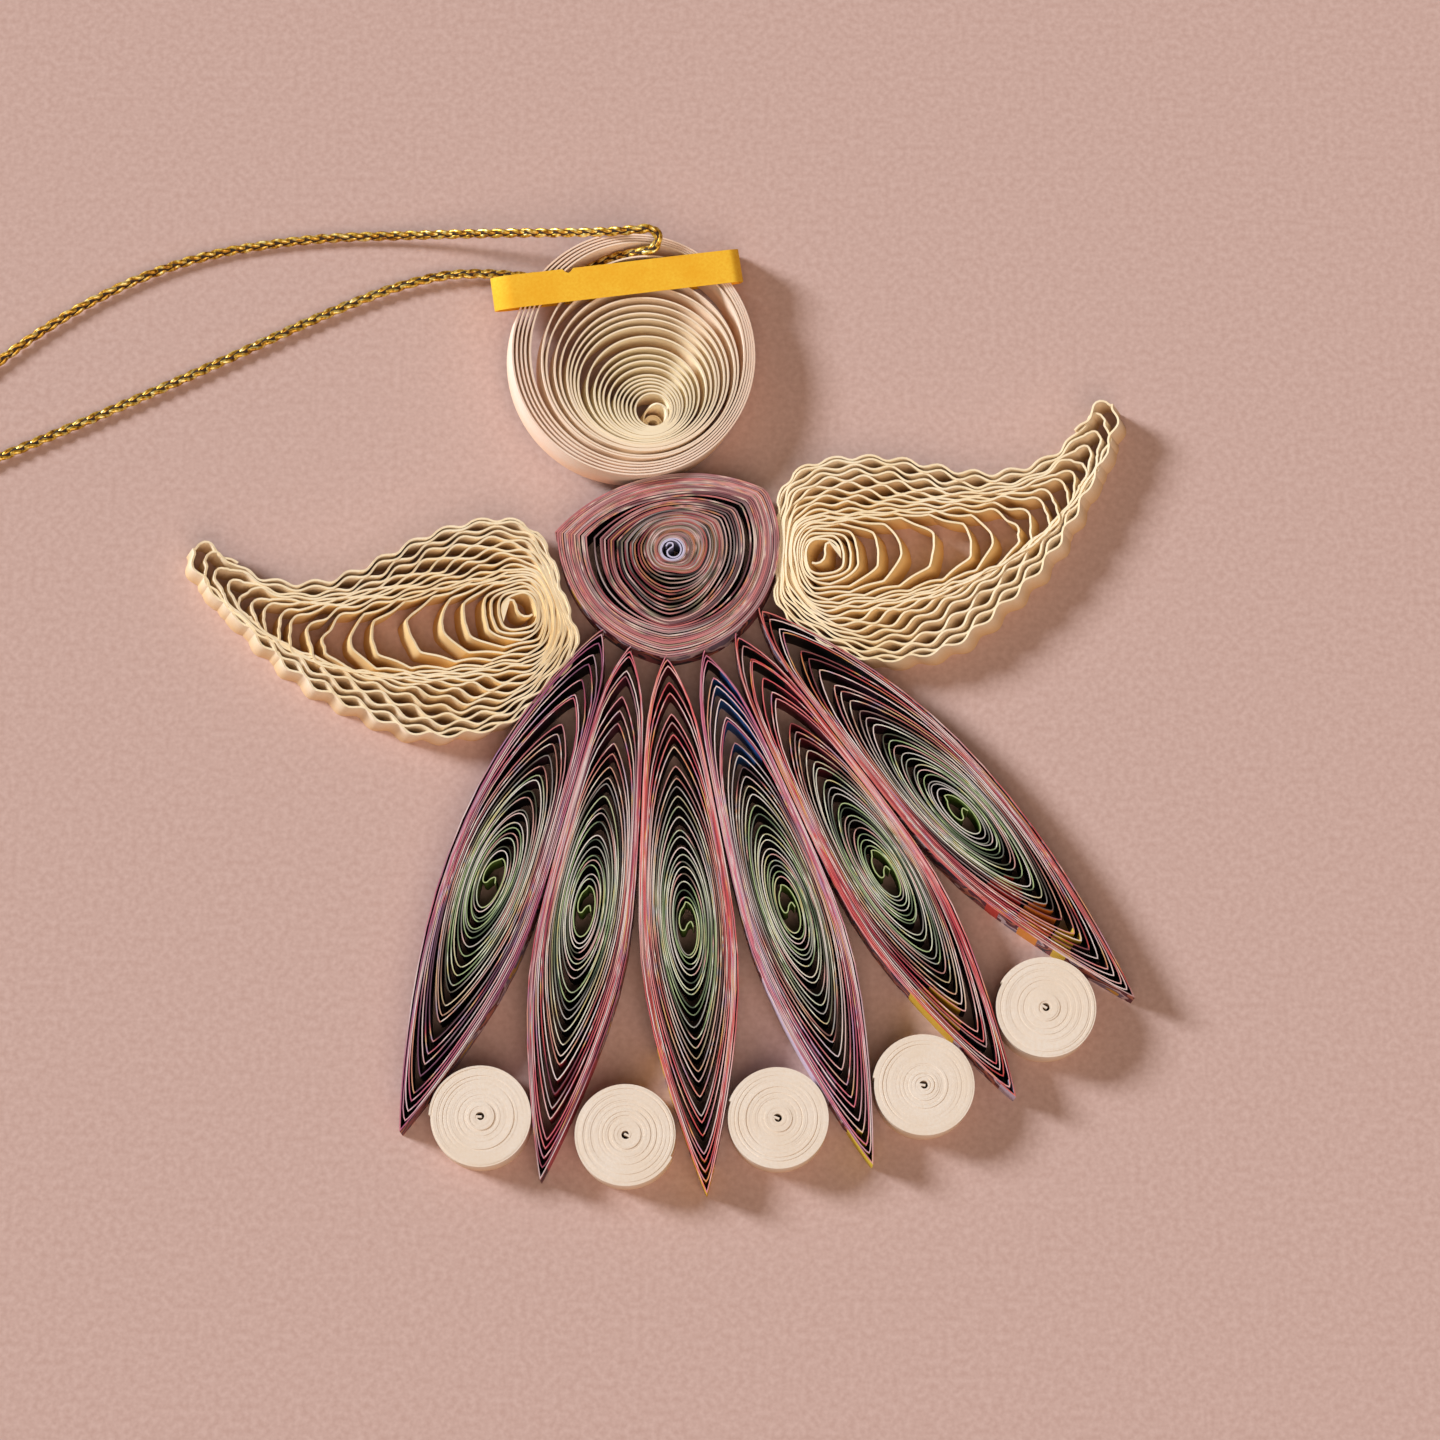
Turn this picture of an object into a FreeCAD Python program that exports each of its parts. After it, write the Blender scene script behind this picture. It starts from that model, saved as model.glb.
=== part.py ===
# A quilled paper angel that hangs on a gold cord, lying on its back.
# Millimetres, +Z up, +Y towards the head, +X towards the right wing as seen from above.
# Every coil is one paper strip that stands on its edge and is wound from its eye outwards.
# The layout is worked out round the eye of the body coil and then moved, so that the origin
# is under the middle of the paper pieces, on the surface that they lie on.
import FreeCAD, Part
import math
import os

# Paper. A modelled strip stands for two or three turns of the real paper.
STRIP_WIDTH = 3.0
PRINT_STRIP = 0.24
CREAM_STRIP = 0.26
WING_STRIP = 0.28
HALO_STRIP = 0.20
GLUE = 0.05
TIP_REACH = 1.5

# Body coil, three arcs through named points, measured from its eye
BODY_LEFT_CORNER = (-9.9, 1.5)
BODY_TOP = (-1.2, 6.5)
BODY_RIGHT_CORNER = (8.0, 5.3)
BODY_RIGHT_SIDE = (7.8, -4.4)
BODY_FOOT = (-0.5, -9.6)
BODY_LEFT_SIDE = (-7.2, -5.6)
BODY_TURNS = 8
BODY_SIDES_ABOVE = 5
BODY_SIDES_BELOW = 8
BODY_ROUND_PART = 0.55

# Skirt petals, which fan out from a point in the body. Angles are from straight down.
FAN_CENTRE = (-1.4, 4.3)
PETAL_ANGLES = (-21.0, -9.0, 4.3, 17.6, 30.2, 42.8)
PETAL_LENGTH = 45.0
PETAL_HALF_WIDTH = 4.45
PETAL_WIDEST = 0.45
PETAL_EYES = (22.4, 21.8, 23.1, 22.3, 23.2, 24.0)
PETAL_TURNS = 8
PETAL_SIDES = 5
PETAL_SHOULDER_POWER = 0.8
PETAL_TIP_POWER = 0.92
PETAL_SPREAD_POWER = 1.25
PETAL_CLOSING = 0.93

# Hem discs, tight rolls that sit between the petals' lower ends in a bead of glue
DISC_RADIUS = 4.2
DISC_CORE = 0.5
DISC_RIM = 0.6
DISC_TURNS = 2.2
DISC_LINE = 0.12
DISC_TURN_SIDES = 8
DISC_RIM_SIDES = 20
DISC_GLUE = (0.05, 0.4, 0.25, 0.2, 0.1)

# Head coil, whose eye lies below its centre, and its place over the body
HEAD_RADIUS_X = 10.5
HEAD_RADIUS_Y = 11.05
HEAD_CORE = 0.8
HEAD_TURNS = 10
HEAD_EYE = (1.6, -5.7)
HEAD_X = -3.5
HEAD_LEAN = 8.0
HEAD_TILT = 3.8
HEAD_OUTER_STEP = 0.33

# Wings: the leaf that the right wing is before it bends along its midrib, eye at (0, 0)
WING_LEAF = ((28.2, 0.0), (21.6, 2.3), (15.9, 4.6), (9.5, 8.1), (3.5, 8.6), (-0.7, 6.4), (-3.4, 2.3),
             (-5.6, -1.8), (-4.7, -5.1), (-2.6, -8.4), (0.3, -10.7), (5.5, -10.4), (12.2, -6.7), (20.3, -3.0))
WING_MIDRIB_SAG = 4.9
WING_TURNS = 6
WING_CRIMP_PITCH = 3.0
WING_CRIMP_HALF_HEIGHT = 0.27
WING_TIGHTEST_BEND = 4.0
WING_FOLD_PART = 0.06
WING_LEAN = 18.0
WING_CLOSING = 0.91
WING_TIP_CLOSING = 0.95
RIGHT_WING_ANGLE = 29.4
RIGHT_WING_Y = -0.5
LEFT_WING_ANGLE = 12.1
LEFT_WING_Y = -5.3

# Halo, a flat loop of strip round the head, its ends and height measured from the head's centre
HALO_ANGLE = 8.5
HALO_LEFT = HEAD_RADIUS_X + 1.7
HALO_RIGHT = HEAD_RADIUS_X - 1.2
HALO_UP = HEAD_RADIUS_Y - 4.25
HALO_LEFT_BEND = 1.6
HALO_RIGHT_BEND = 0.5
HALO_CLEARANCE = 0.06

# Hanging cord, a plait, and the points of its route round the body's eye: from the knot,
# under the head's outer turns, up between them and the next turn, over them and back to the
# knot. A bend reaches this share of the shorter run beside it.
CORD_DIAMETER = 1.0
CORD_SIDES = 6
CORD_BEND_SHARE = 0.45
CORD_ROUTE = (
    (-80.0, 1.4, 1.2), (-75.6, 1.4, 1.2), (-68.2, 4.3, 0.6), (-56.5, 9.4, 0.5), (-42.5, 15.8, 0.5),
    (-28.0, 23.0, 0.5), (-20.8, 25.4, 0.7), (-16.2, 25.6, 0.8), (-12.2, 25.2, 0.65), (-8.6, 25.5, 0.65),
    (-6.5, 26.2, 1.4), (-5.0, 26.45, 2.4), (-3.4, 26.4, 3.4), (-1.8, 26.4, 4.2), (-1.25, 26.9, 4.45),
    (-1.25, 27.6, 4.75), (-1.8, 28.1, 5.0), (-3.3, 27.95, 4.9), (-5.8, 27.95, 4.4), (-9.8, 28.2, 3.6),
    (-15.2, 28.65, 2.4), (-22.0, 29.1, 0.8), (-32.5, 28.9, 0.5), (-43.5, 26.8, 0.5), (-54.3, 21.0, 0.5),
    (-64.5, 12.0, 0.5), (-71.4, 5.3, 0.7), (-75.8, 2.5, 1.2), (-80.0, 2.5, 1.2))

# Knot in the doubled cord: turns of cord drawn tight, and the two cut ends
KNOT_RADIUS = 1.35
KNOT_SIDES = 8
KNOT_LENGTH = 2.6
KNOT_TURNS = 2
KNOT_WAIST = 0.87
TAIL_LENGTH = 4.5
TAIL_SPREAD = 14.0


def along(degrees):
    """A unit vector at an angle from +X."""
    return (math.cos(math.radians(degrees)), math.sin(math.radians(degrees)))


def mix(first, second, share):
    return first + (second - first) * share


def moved(points, dx, dy):
    return [(x + dx, y + dy) for x, y in points]


def turned(points, degrees):
    c, s = along(degrees)
    return [(x * c - y * s, x * s + y * c) for x, y in points]


def strip_outline(path, thickness):
    """The closed outline of a strip that stands on its edge along the path, its corners mitred."""
    half = thickness / 2
    left = []
    right = []
    last = len(path) - 1
    for i, (x, y) in enumerate(path):
        before = path[max(i - 1, 0)]
        here = path[max(min(i, last - 1), 0)]
        after = path[min(i + 1, last)]
        back = (x - before[0], y - before[1]) if i else (after[0] - x, after[1] - y)
        ahead = (after[0] - here[0], after[1] - here[1])
        a, b = math.hypot(*back), math.hypot(*ahead)
        normal_in = (-back[1] / a, back[0] / a)
        normal_out = (-ahead[1] / b, ahead[0] / b)
        opening = 1 + normal_in[0] * normal_out[0] + normal_in[1] * normal_out[1]
        mitre = ((normal_in[0] + normal_out[0]) / opening, (normal_in[1] + normal_out[1]) / opening)
        reach = math.hypot(*mitre)
        trimmed = min(reach, TIP_REACH) / reach
        turns_left = back[0] * ahead[1] - back[1] * ahead[0] > 0
        left_reach, right_reach = (1, trimmed) if turns_left else (trimmed, 1)
        left.append((x + half * mitre[0] * left_reach, y + half * mitre[1] * left_reach))
        right.append((x - half * mitre[0] * right_reach, y - half * mitre[1] * right_reach))
    return left + right[::-1]


def stood_up(outline, lift=(0.0, 0.0), height=STRIP_WIDTH):
    """A solid from an outline on the ground. The lift is how far its top leans over."""
    corners = [FreeCAD.Vector(x - lift[0], y - lift[1], 0) for x, y in outline]
    face = Part.Face(Part.makePolygon(corners + corners[:1]))
    return face.extrude(FreeCAD.Vector(lift[0], lift[1], height))


def hit_distance(start, direction, outline):
    """How far the outline's edges are from the start along the direction, nearest and farthest."""
    hits = []
    for (x1, y1), (x2, y2) in zip(outline, outline[1:] + outline[:1]):
        ex, ey = x2 - x1, y2 - y1
        cross = direction[0] * ey - direction[1] * ex
        if abs(cross) < 1e-12:
            continue
        dx, dy = x1 - start[0], y1 - start[1]
        distance = (dx * ey - dy * ex) / cross
        place = (dx * direction[1] - dy * direction[0]) / cross
        if 0 <= place <= 1 and distance > 0:
            hits.append(distance)
    return (min(hits), max(hits)) if hits else None


def slide_room(moving, fixed, direction):
    """How far one outline can slide along a direction before it touches the other."""
    away = (-direction[0], -direction[1])
    rooms = [hit_distance(point, direction, fixed) for point in moving]
    rooms += [hit_distance(point, away, moving) for point in fixed]
    return min(room[0] for room in rooms if room)


def butted(outline, neighbours, direction, start=60.0):
    """The shift that brings an outline from afar along the direction up to its nearest neighbour."""
    afar = moved(outline, -direction[0] * start, -direction[1] * start)
    room = min(slide_room(afar, other, direction) for other in neighbours)
    slide = room - GLUE - start
    return (direction[0] * slide, direction[1] * slide)


def arc_circle(first, middle, last):
    """The centre and radius of the circle through three points."""
    (ax, ay), (bx, by), (cx, cy) = first, middle, last
    d = 2 * (ax * (by - cy) + bx * (cy - ay) + cx * (ay - by))
    a, b, c = ax * ax + ay * ay, bx * bx + by * by, cx * cx + cy * cy
    x = (a * (by - cy) + b * (cy - ay) + c * (ay - by)) / d
    y = (a * (cx - bx) + b * (ax - cx) + c * (bx - ax)) / d
    return (x, y), math.hypot(ax - x, ay - y)


def bearing(point):
    return math.degrees(math.atan2(point[1], point[0])) % 360


def body_reach(degrees):
    """How far the shield's outline is from the eye, at an angle from +X."""
    degrees = degrees % 360
    if bearing(BODY_RIGHT_CORNER) <= degrees <= bearing(BODY_LEFT_CORNER):
        stretch = (BODY_RIGHT_CORNER, BODY_TOP, BODY_LEFT_CORNER)
    elif bearing(BODY_LEFT_CORNER) < degrees <= bearing(BODY_FOOT):
        stretch = (BODY_LEFT_CORNER, BODY_LEFT_SIDE, BODY_FOOT)
    else:
        stretch = (BODY_FOOT, BODY_RIGHT_SIDE, BODY_RIGHT_CORNER)
    (x, y), radius = arc_circle(*stretch)
    dx, dy = along(degrees)
    middle = dx * x + dy * y
    return middle + math.sqrt(middle * middle - x * x - y * y + radius * radius)


def closing_share(turn, turns, step):
    """How far out a turn is, 0 to 1. The last turn lies a step outside the one before."""
    inner = 1 - step
    if turn <= turns - 1:
        return inner * turn / (turns - 1)
    return mix(inner, 1, turn - turns + 1)


def body_path():
    """The body coil: round near its eye and a shield outside, the strip's end at the left corner."""
    left, right = bearing(BODY_LEFT_CORNER), bearing(BODY_RIGHT_CORNER)
    bearings = [mix(left, right + 360, i / BODY_SIDES_BELOW) for i in range(BODY_SIDES_BELOW)]
    bearings += [mix(right, left, i / BODY_SIDES_ABOVE) for i in range(BODY_SIDES_ABOVE)]
    half_strip = PRINT_STRIP / 2
    smallest = min(body_reach(degrees) for degrees in bearings)
    step = (PRINT_STRIP + GLUE) / smallest
    sides = len(bearings)
    path = []
    for i in range(sides // 2, BODY_TURNS * sides + 1):
        degrees = bearings[i % sides]
        share = closing_share(i / sides, BODY_TURNS, step)
        shielded = min(1, share / BODY_ROUND_PART) ** 2
        reach = mix(smallest, body_reach(degrees), shielded) - half_strip
        dx, dy = along(degrees)
        path.append((dx * reach * share, dy * reach * share))
    return path


def petal_width(s, pointed):
    """A petal's half width, as a share of its widest, at a share of its length from the root.
    Its inner turns are ovals and its outer turns pointed."""
    oval = 2 * math.sqrt(s * (1 - s))
    if s < PETAL_WIDEST:
        leaf = math.sin(math.pi / 2 * s / PETAL_WIDEST) ** PETAL_SHOULDER_POWER
    else:
        fall = (s - PETAL_WIDEST) / (1 - PETAL_WIDEST)
        leaf = max(0.0, math.cos(math.pi / 2 * fall)) ** PETAL_TIP_POWER
    return mix(oval, leaf, pointed)


def pressed_width(s, pointed, root, half_step):
    """The half width, with the straight side where the petal is glued to its neighbour."""
    width = (PETAL_HALF_WIDTH - PRINT_STRIP / 2) * petal_width(s, pointed)
    if half_step is None:
        return width
    r = root + s * PETAL_LENGTH
    h = math.radians(half_step)
    room = (r * math.sin(h) - (PRINT_STRIP + GLUE) / 2) / math.cos(h)
    return width if s in (0.0, 1.0) else min(width, room)


def petal_path(index, root):
    """One petal as (distance from the fan's centre, distance to the side), wound from its eye."""
    eye = root + PETAL_EYES[index]
    to_root = PETAL_EYES[index]
    to_tip = PETAL_LENGTH - PETAL_EYES[index]
    angle = PETAL_ANGLES[index]
    above = None
    below = None
    if index + 1 < len(PETAL_ANGLES):
        above = (PETAL_ANGLES[index + 1] - angle) / 2
    if index > 0:
        below = (angle - PETAL_ANGLES[index - 1]) / 2
    last = PETAL_TURNS - 1

    def root_tip(turn):
        if turn == PETAL_TURNS:
            return eye - to_root
        return eye - to_root * PETAL_CLOSING * (turn / last) ** PETAL_SPREAD_POWER

    def low_tip(turn):
        return eye + to_tip * ((turn + 1) / PETAL_TURNS) ** PETAL_SPREAD_POWER

    path = [(root_tip(0), 0.0)]
    for turn in range(PETAL_TURNS):
        share = (turn + 1) / PETAL_TURNS
        pointed = turn / last
        for side, half_step, first, second in ((1, above, root_tip(turn), low_tip(turn)),
                                               (-1, below, root_tip(turn + 1), low_tip(turn))):
            places = [(1 - math.cos(math.pi * j / PETAL_SIDES)) / 2 for j in range(PETAL_SIDES + 1)]
            if side < 0:
                places.reverse()
            for s in places[1:]:
                width = share * pressed_width(s, pointed, root, half_step)
                path.append((mix(first, second, s), side * width))
    return path


def place_petal(path, degrees):
    """Turns a petal's path about the fan's centre, angles from straight down."""
    s, c = math.sin(math.radians(degrees)), math.cos(math.radians(degrees))
    x, y = FAN_CENTRE
    return [(x + r * s + v * c, y - r * c + v * s) for r, v in path]


def petal_outline(index, body):
    """A petal whose root tip meets the body coil's rim."""
    down = PETAL_ANGLES[index] - 90
    rim = hit_distance(FAN_CENTRE, along(down), body)[1]
    root = rim + GLUE + PRINT_STRIP / 2 * TIP_REACH
    return strip_outline(place_petal(petal_path(index, root), PETAL_ANGLES[index]), PRINT_STRIP)


def disc_outline():
    return [(DISC_RADIUS * x, DISC_RADIUS * y)
            for x, y in (along(360 * i / DISC_RIM_SIDES) for i in range(DISC_RIM_SIDES))]


def disc_solid(centre):
    """A tight roll: a drum with the thin line between its turns cut right through."""
    steps = round(DISC_TURNS * DISC_TURN_SIDES)
    path = []
    for i in range(steps + 1):
        reach = mix(DISC_CORE, DISC_RADIUS - DISC_RIM, i / steps)
        dx, dy = along(360 * i / DISC_TURN_SIDES)
        path.append((dx * reach, dy * reach))
    line = stood_up(moved(strip_outline(path, DISC_LINE), *centre))
    return stood_up(moved(disc_outline(), *centre)).cut(line)


def head_centre_shift(radius, biggest):
    """Where a turn's centre is, from the head's centre. Inner turns lie towards the eye."""
    share = max(0.0, 1 - (radius - HEAD_CORE) / (biggest - HEAD_CORE))
    return (HEAD_EYE[0] * share, HEAD_EYE[1] * share)


def head_path():
    """The head coil. Each turn keeps its radius round the top and steps out at the foot."""
    foot = bearing(HEAD_EYE)
    half_strip = CREAM_STRIP / 2
    biggest = HEAD_RADIUS_Y - 2 * HEAD_OUTER_STEP
    inner = HEAD_TURNS - 2
    radii = [mix(HEAD_CORE, biggest, i / inner) for i in range(inner + 1)]
    radii += [HEAD_RADIUS_Y - HEAD_OUTER_STEP, HEAD_RADIUS_Y]
    squash = HEAD_RADIUS_X / HEAD_RADIUS_Y
    path = []
    for turn in range(HEAD_TURNS):
        sides = 8 if turn < 2 else 12 if turn < 5 else 16
        for j in range(sides + (turn == HEAD_TURNS - 1)):
            f = j / sides
            ease = 0.5 + 0.5 * math.cos(math.pi * min(1, (1 - f) / 0.3)) if f > 0.7 else 0.0
            radius = mix(radii[turn], radii[turn + 1], ease)
            cx, cy = head_centre_shift(radius, biggest)
            dx, dy = along(foot - 360 * f)
            reach = radius - half_strip
            path.append(((cx + dx * reach) * squash, cy + dy * reach))
    return path


def midrib(x):
    """How far the wing's middle line lies below the line from its eye to its tip."""
    length = WING_LEAF[0][0]
    if x <= 0:
        return 0.0
    return -WING_MIDRIB_SAG * math.sin(math.pi * min(1, x / length) ** 1.3)


def leaf_point(share):
    """A point of the leaf's outline, smooth but for its tip, by share of the way round."""
    ring = WING_LEAF + WING_LEAF[:1]
    place = (share % 1) * (len(ring) - 1)
    i = int(place)
    t = place - i
    points = [ring[max(i - 1, 0)], ring[i], ring[i + 1], ring[min(i + 2, len(ring) - 1)]]
    point = []
    for p, q, r, s in zip(*points):
        bend = 2 * q + (r - p) * t + (2 * p - 5 * q + 4 * r - s) * t * t
        point.append((bend + (3 * q - p - 3 * r + s) * t ** 3) / 2)
    return point


def tip_share(share):
    """How far towards the wing's tip a turn reaches. The middle turns stand open."""
    if share < 0.28:
        return share - 0.05 * math.sin(math.pi * share / 0.28)
    if share < 0.8:
        return share + 0.085 * math.sin(math.pi * (share - 0.28) / 0.52)
    return share


def wing_tip(turn):
    """How far towards the wing's tip the strip folds after a number of whole turns."""
    if turn >= WING_TURNS:
        return 1.0
    if turn == WING_TURNS - 1:
        return WING_TIP_CLOSING
    return tip_share(WING_CLOSING * turn / (WING_TURNS - 1))


def wing_point(turn):
    """A point of the wing's strip before it is crimped."""
    whole = int(turn)
    share = 1.0 if whole == WING_TURNS - 1 else WING_CLOSING * (whole + 1) / (WING_TURNS - 1)
    x, w = leaf_point(turn)
    x *= mix(wing_tip(whole), wing_tip(whole + 1), turn - whole) if x > 0 else share
    return (x, w * share + midrib(x))


def wing_path():
    """The wing's strip, wound from the eye and crimped into even waves. The waves die out towards
    the folds at the tip, and are lower where the turns lie close."""
    sag = (WING_CRIMP_PITCH / 2) ** 2 / (8 * WING_TIGHTEST_BEND)
    steps = 200
    first = 0.5
    track = [first + i * (WING_TURNS - first) / (steps * WING_TURNS) for i in range(steps * WING_TURNS + 1)]
    points = [wing_point(min(turn, WING_TURNS - 1e-6)) for turn in track]
    path = [points[0]]
    walked = 0.0
    side = 1
    for i in range(1, len(points)):
        (x1, y1), (x2, y2) = points[i - 1], points[i]
        walked += math.hypot(x2 - x1, y2 - y1)
        if walked < WING_CRIMP_PITCH / 2 and i < len(points) - 1:
            continue
        length = math.hypot(x2 - x1, y2 - y1)
        normal = (-(y2 - y1) / length, (x2 - x1) / length)
        rooms = []
        for turn in (track[i] - 1, track[i] + 1):
            if 0 <= turn <= WING_TURNS:
                x, y = wing_point(min(turn, WING_TURNS - 1e-6))
                rooms.append(abs((x - x2) * normal[0] + (y - y2) * normal[1]))
        room = (min(rooms) - WING_STRIP - GLUE) / 2 - sag
        from_fold = min(track[i] % 1, 1 - track[i] % 1)
        wave = min(WING_CRIMP_HALF_HEIGHT, max(0.0, room)) * min(1, from_fold / WING_FOLD_PART) * side
        path.append((x2 + normal[0] * wave, y2 + normal[1] * wave))
        walked = 0.0
        side = -side
    return path


def bend_points(cx, cy, radius, first, last, sides):
    """Points round a bend, angles from +X."""
    spokes = [along(mix(first, last, i / sides)) for i in range(sides + 1)]
    return [(cx + radius * x, cy + radius * y) for x, y in spokes]


def halo_band():
    """The halo: a strip bent into a flat loop, its two strands over and under the head."""
    half = HALO_STRIP / 2
    room = STRIP_WIDTH * math.cos(math.radians(HEAD_LEAN)) + 2 * HALO_CLEARANCE
    low, high = half, HALO_STRIP + room + half
    left, right = half - HALO_LEFT, HALO_RIGHT - half
    a, b = HALO_LEFT_BEND, HALO_RIGHT_BEND
    path = [(0.0, low)]
    path += bend_points(right - b, low + b, b, -90, 0, 2)
    path += bend_points(right - b, high - b, b, 0, 90, 2)
    path += bend_points(left + a, high - a, a, 90, 180, 3)
    path += bend_points(left + a, low + a, a, 180, 270, 3)
    path += [(-HALO_STRIP, low)]
    corners = [FreeCAD.Vector(x, -STRIP_WIDTH / 2, z) for x, z in strip_outline(path, HALO_STRIP)]
    face = Part.Face(Part.makePolygon(corners + corners[:1]))
    band = face.extrude(FreeCAD.Vector(0, STRIP_WIDTH, 0))
    band.rotate(FreeCAD.Vector(0, 0, 0), FreeCAD.Vector(0, 0, 1), HALO_ANGLE)
    band.translate(FreeCAD.Vector(0, HALO_UP, 0))
    return band


def lean_shift(degrees):
    return STRIP_WIDTH * math.sin(math.radians(degrees))


def wing_solid(outline, lean):
    return stood_up(outline, (lean, 0.0), STRIP_WIDTH * math.cos(math.radians(WING_LEAN)))


def flat_section(centre, direction, radius, sides):
    """A flat-sided round face, square to a direction, with one side down."""
    across = FreeCAD.Vector(0, 0, 1).cross(direction).normalize()
    up = direction.cross(across).normalize()
    corners = []
    for i in range(sides + 1):
        x, y = along(360 * (i + 0.5) / sides - 90)
        corners.append(centre + across * (radius * x) + up * (radius * y))
    return Part.Face(Part.makePolygon(corners))


def cord_solid():
    """The cord: straight runs joined by tangent arcs. Prints its radii, length and volume."""
    points = [FreeCAD.Vector(*point) for point in CORD_ROUTE]
    edges = []
    radii = []
    here = points[0]
    for before, corner, after in zip(points, points[1:], points[2:]):
        back, ahead = before - corner, after - corner
        reach = CORD_BEND_SHARE * min(back.Length, ahead.Length)
        back.normalize()
        ahead.normalize()
        half_turn = (math.pi - back.getAngle(ahead)) / 2
        radius = reach / math.tan(half_turn)
        first, last = corner + back * reach, corner + ahead * reach
        inward = (back + ahead).normalize()
        middle = corner + inward * (radius / math.cos(half_turn) - radius)
        edges.append(Part.LineSegment(here, first).toShape())
        edges.append(Part.Arc(first, middle, last).toShape())
        radii.append(round(radius, 2))
        here = last
    edges.append(Part.LineSegment(here, points[-1]).toShape())
    section = flat_section(points[0], points[1] - points[0], CORD_DIAMETER / 2, CORD_SIDES)
    route = Part.Wire(edges)
    solid = route.makePipe(section)
    print("cord radii", radii)
    print("cord length", round(route.Length, 2))
    print("cord volume", round(solid.Volume, 3), "of", round(section.Area * route.Length, 3))
    return solid


def knot_solid():
    """The knot, a row of tight rounds on the ground, with the two cut ends behind it."""
    x, y, z = CORD_ROUTE[0]
    y = (y + CORD_ROUTE[-1][1]) / 2
    rest = KNOT_RADIUS * math.cos(math.pi / KNOT_SIDES)
    stations = 2 * KNOT_TURNS
    rounds = []
    for i in range(stations + 1):
        centre = FreeCAD.Vector(x - KNOT_LENGTH * i / stations, y, rest)
        radius = KNOT_RADIUS if i % 2 else KNOT_RADIUS * KNOT_WAIST
        rounds.append(flat_section(centre, FreeCAD.Vector(-1, 0, 0), radius, KNOT_SIDES).OuterWire)
    knot = Part.makeLoft(rounds, True, True)
    half_cord = CORD_DIAMETER / 2
    for side in (-1, 1):
        way = FreeCAD.Vector(*along(180 + side * TAIL_SPREAD), 0)
        root = FreeCAD.Vector(x - KNOT_LENGTH + half_cord, y - side * half_cord, half_cord)
        tail = flat_section(root, way, half_cord, CORD_SIDES)
        knot = knot.fuse(tail.extrude(way * TAIL_LENGTH))
    return knot


def build():
    """Every paper piece by name, round the body coil's eye."""
    pieces = {}
    body = strip_outline(body_path(), PRINT_STRIP)
    pieces["body_coil"] = stood_up(body)

    petals = []
    for index in range(len(PETAL_ANGLES)):
        outline = petal_outline(index, body)
        petals.append(outline)
        pieces["petal_%d" % (index + 1)] = stood_up(outline)

    disc = disc_outline()
    for index in range(len(PETAL_ANGLES) - 1):
        seam = (PETAL_ANGLES[index] + PETAL_ANGLES[index + 1]) / 2
        up = along(seam + 90)
        down = (-up[0], -up[1])
        reach = PETAL_LENGTH
        x, y = FAN_CENTRE[0] + down[0] * reach, FAN_CENTRE[1] + down[1] * reach
        room = 1 + (DISC_GLUE[index] - GLUE) / DISC_RADIUS
        seated = [(room * rim_x, room * rim_y) for rim_x, rim_y in disc]
        dx, dy = butted(moved(seated, x, y), petals[index:index + 2], up)
        pieces["hem_disc_%d" % (index + 1)] = disc_solid((x + dx, y + dy))

    shift = lean_shift(WING_LEAN)
    crimped = wing_path()
    right = turned(crimped, RIGHT_WING_ANGLE)
    right = moved(strip_outline(right, WING_STRIP), 0, RIGHT_WING_Y)
    right = moved(right, *butted(right, [body, petals[-1]], (-1.0, 0.0)))
    pieces["right_wing"] = wing_solid(right, -shift)
    left = [(-x, y) for x, y in turned(crimped, LEFT_WING_ANGLE)]
    left = moved(strip_outline(left, WING_STRIP), 0, LEFT_WING_Y)
    left = moved(left, *butted(left, [body, petals[0]], (1.0, 0.0)))
    pieces["left_wing"] = wing_solid(left, shift)

    head = moved(strip_outline(head_path(), CREAM_STRIP), HEAD_X, 0)
    shift = butted(head, [body], (0.0, -1.0))
    head = moved(head, *shift)
    lean = lean_shift(HEAD_LEAN)
    coil = stood_up(head, (lean, 0.0), STRIP_WIDTH * math.cos(math.radians(HEAD_LEAN)))
    coil.translate(FreeCAD.Vector(0, 0, HALO_STRIP + HALO_CLEARANCE))
    halo = halo_band()
    centre_y = shift[1]
    halo.translate(FreeCAD.Vector(HEAD_X, centre_y, 0))
    hinge = FreeCAD.Vector(HEAD_X + HEAD_RADIUS_X, 0, 0)
    for shape in (coil, halo):
        shape.rotate(hinge, FreeCAD.Vector(0, 1, 0), HEAD_TILT)
    pieces["head_coil"] = coil
    pieces["halo"] = halo
    return pieces


pieces = build()
box = Part.makeCompound(list(pieces.values())).BoundBox
to_origin = FreeCAD.Vector(-box.Center.x, -box.Center.y, -box.ZMin)
print("body eye at", round(to_origin.x, 3), round(to_origin.y, 3), "lift", round(to_origin.z, 4))
print("paper box", round(box.XLength, 2), round(box.YLength, 2), round(box.ZLength, 2))
pieces["hanging_cord"] = cord_solid()
pieces["cord_knot"] = knot_solid()
os.makedirs("parts", exist_ok=True)
for name, shape in pieces.items():
    shape.translate(to_origin)
    print(name, shape.isValid(), len(shape.Solids), round(shape.Volume, 1))
    shape.exportStep("parts/%s.step" % name)
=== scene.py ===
import math
import random

import bpy
from mathutils import Matrix, Vector


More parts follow.
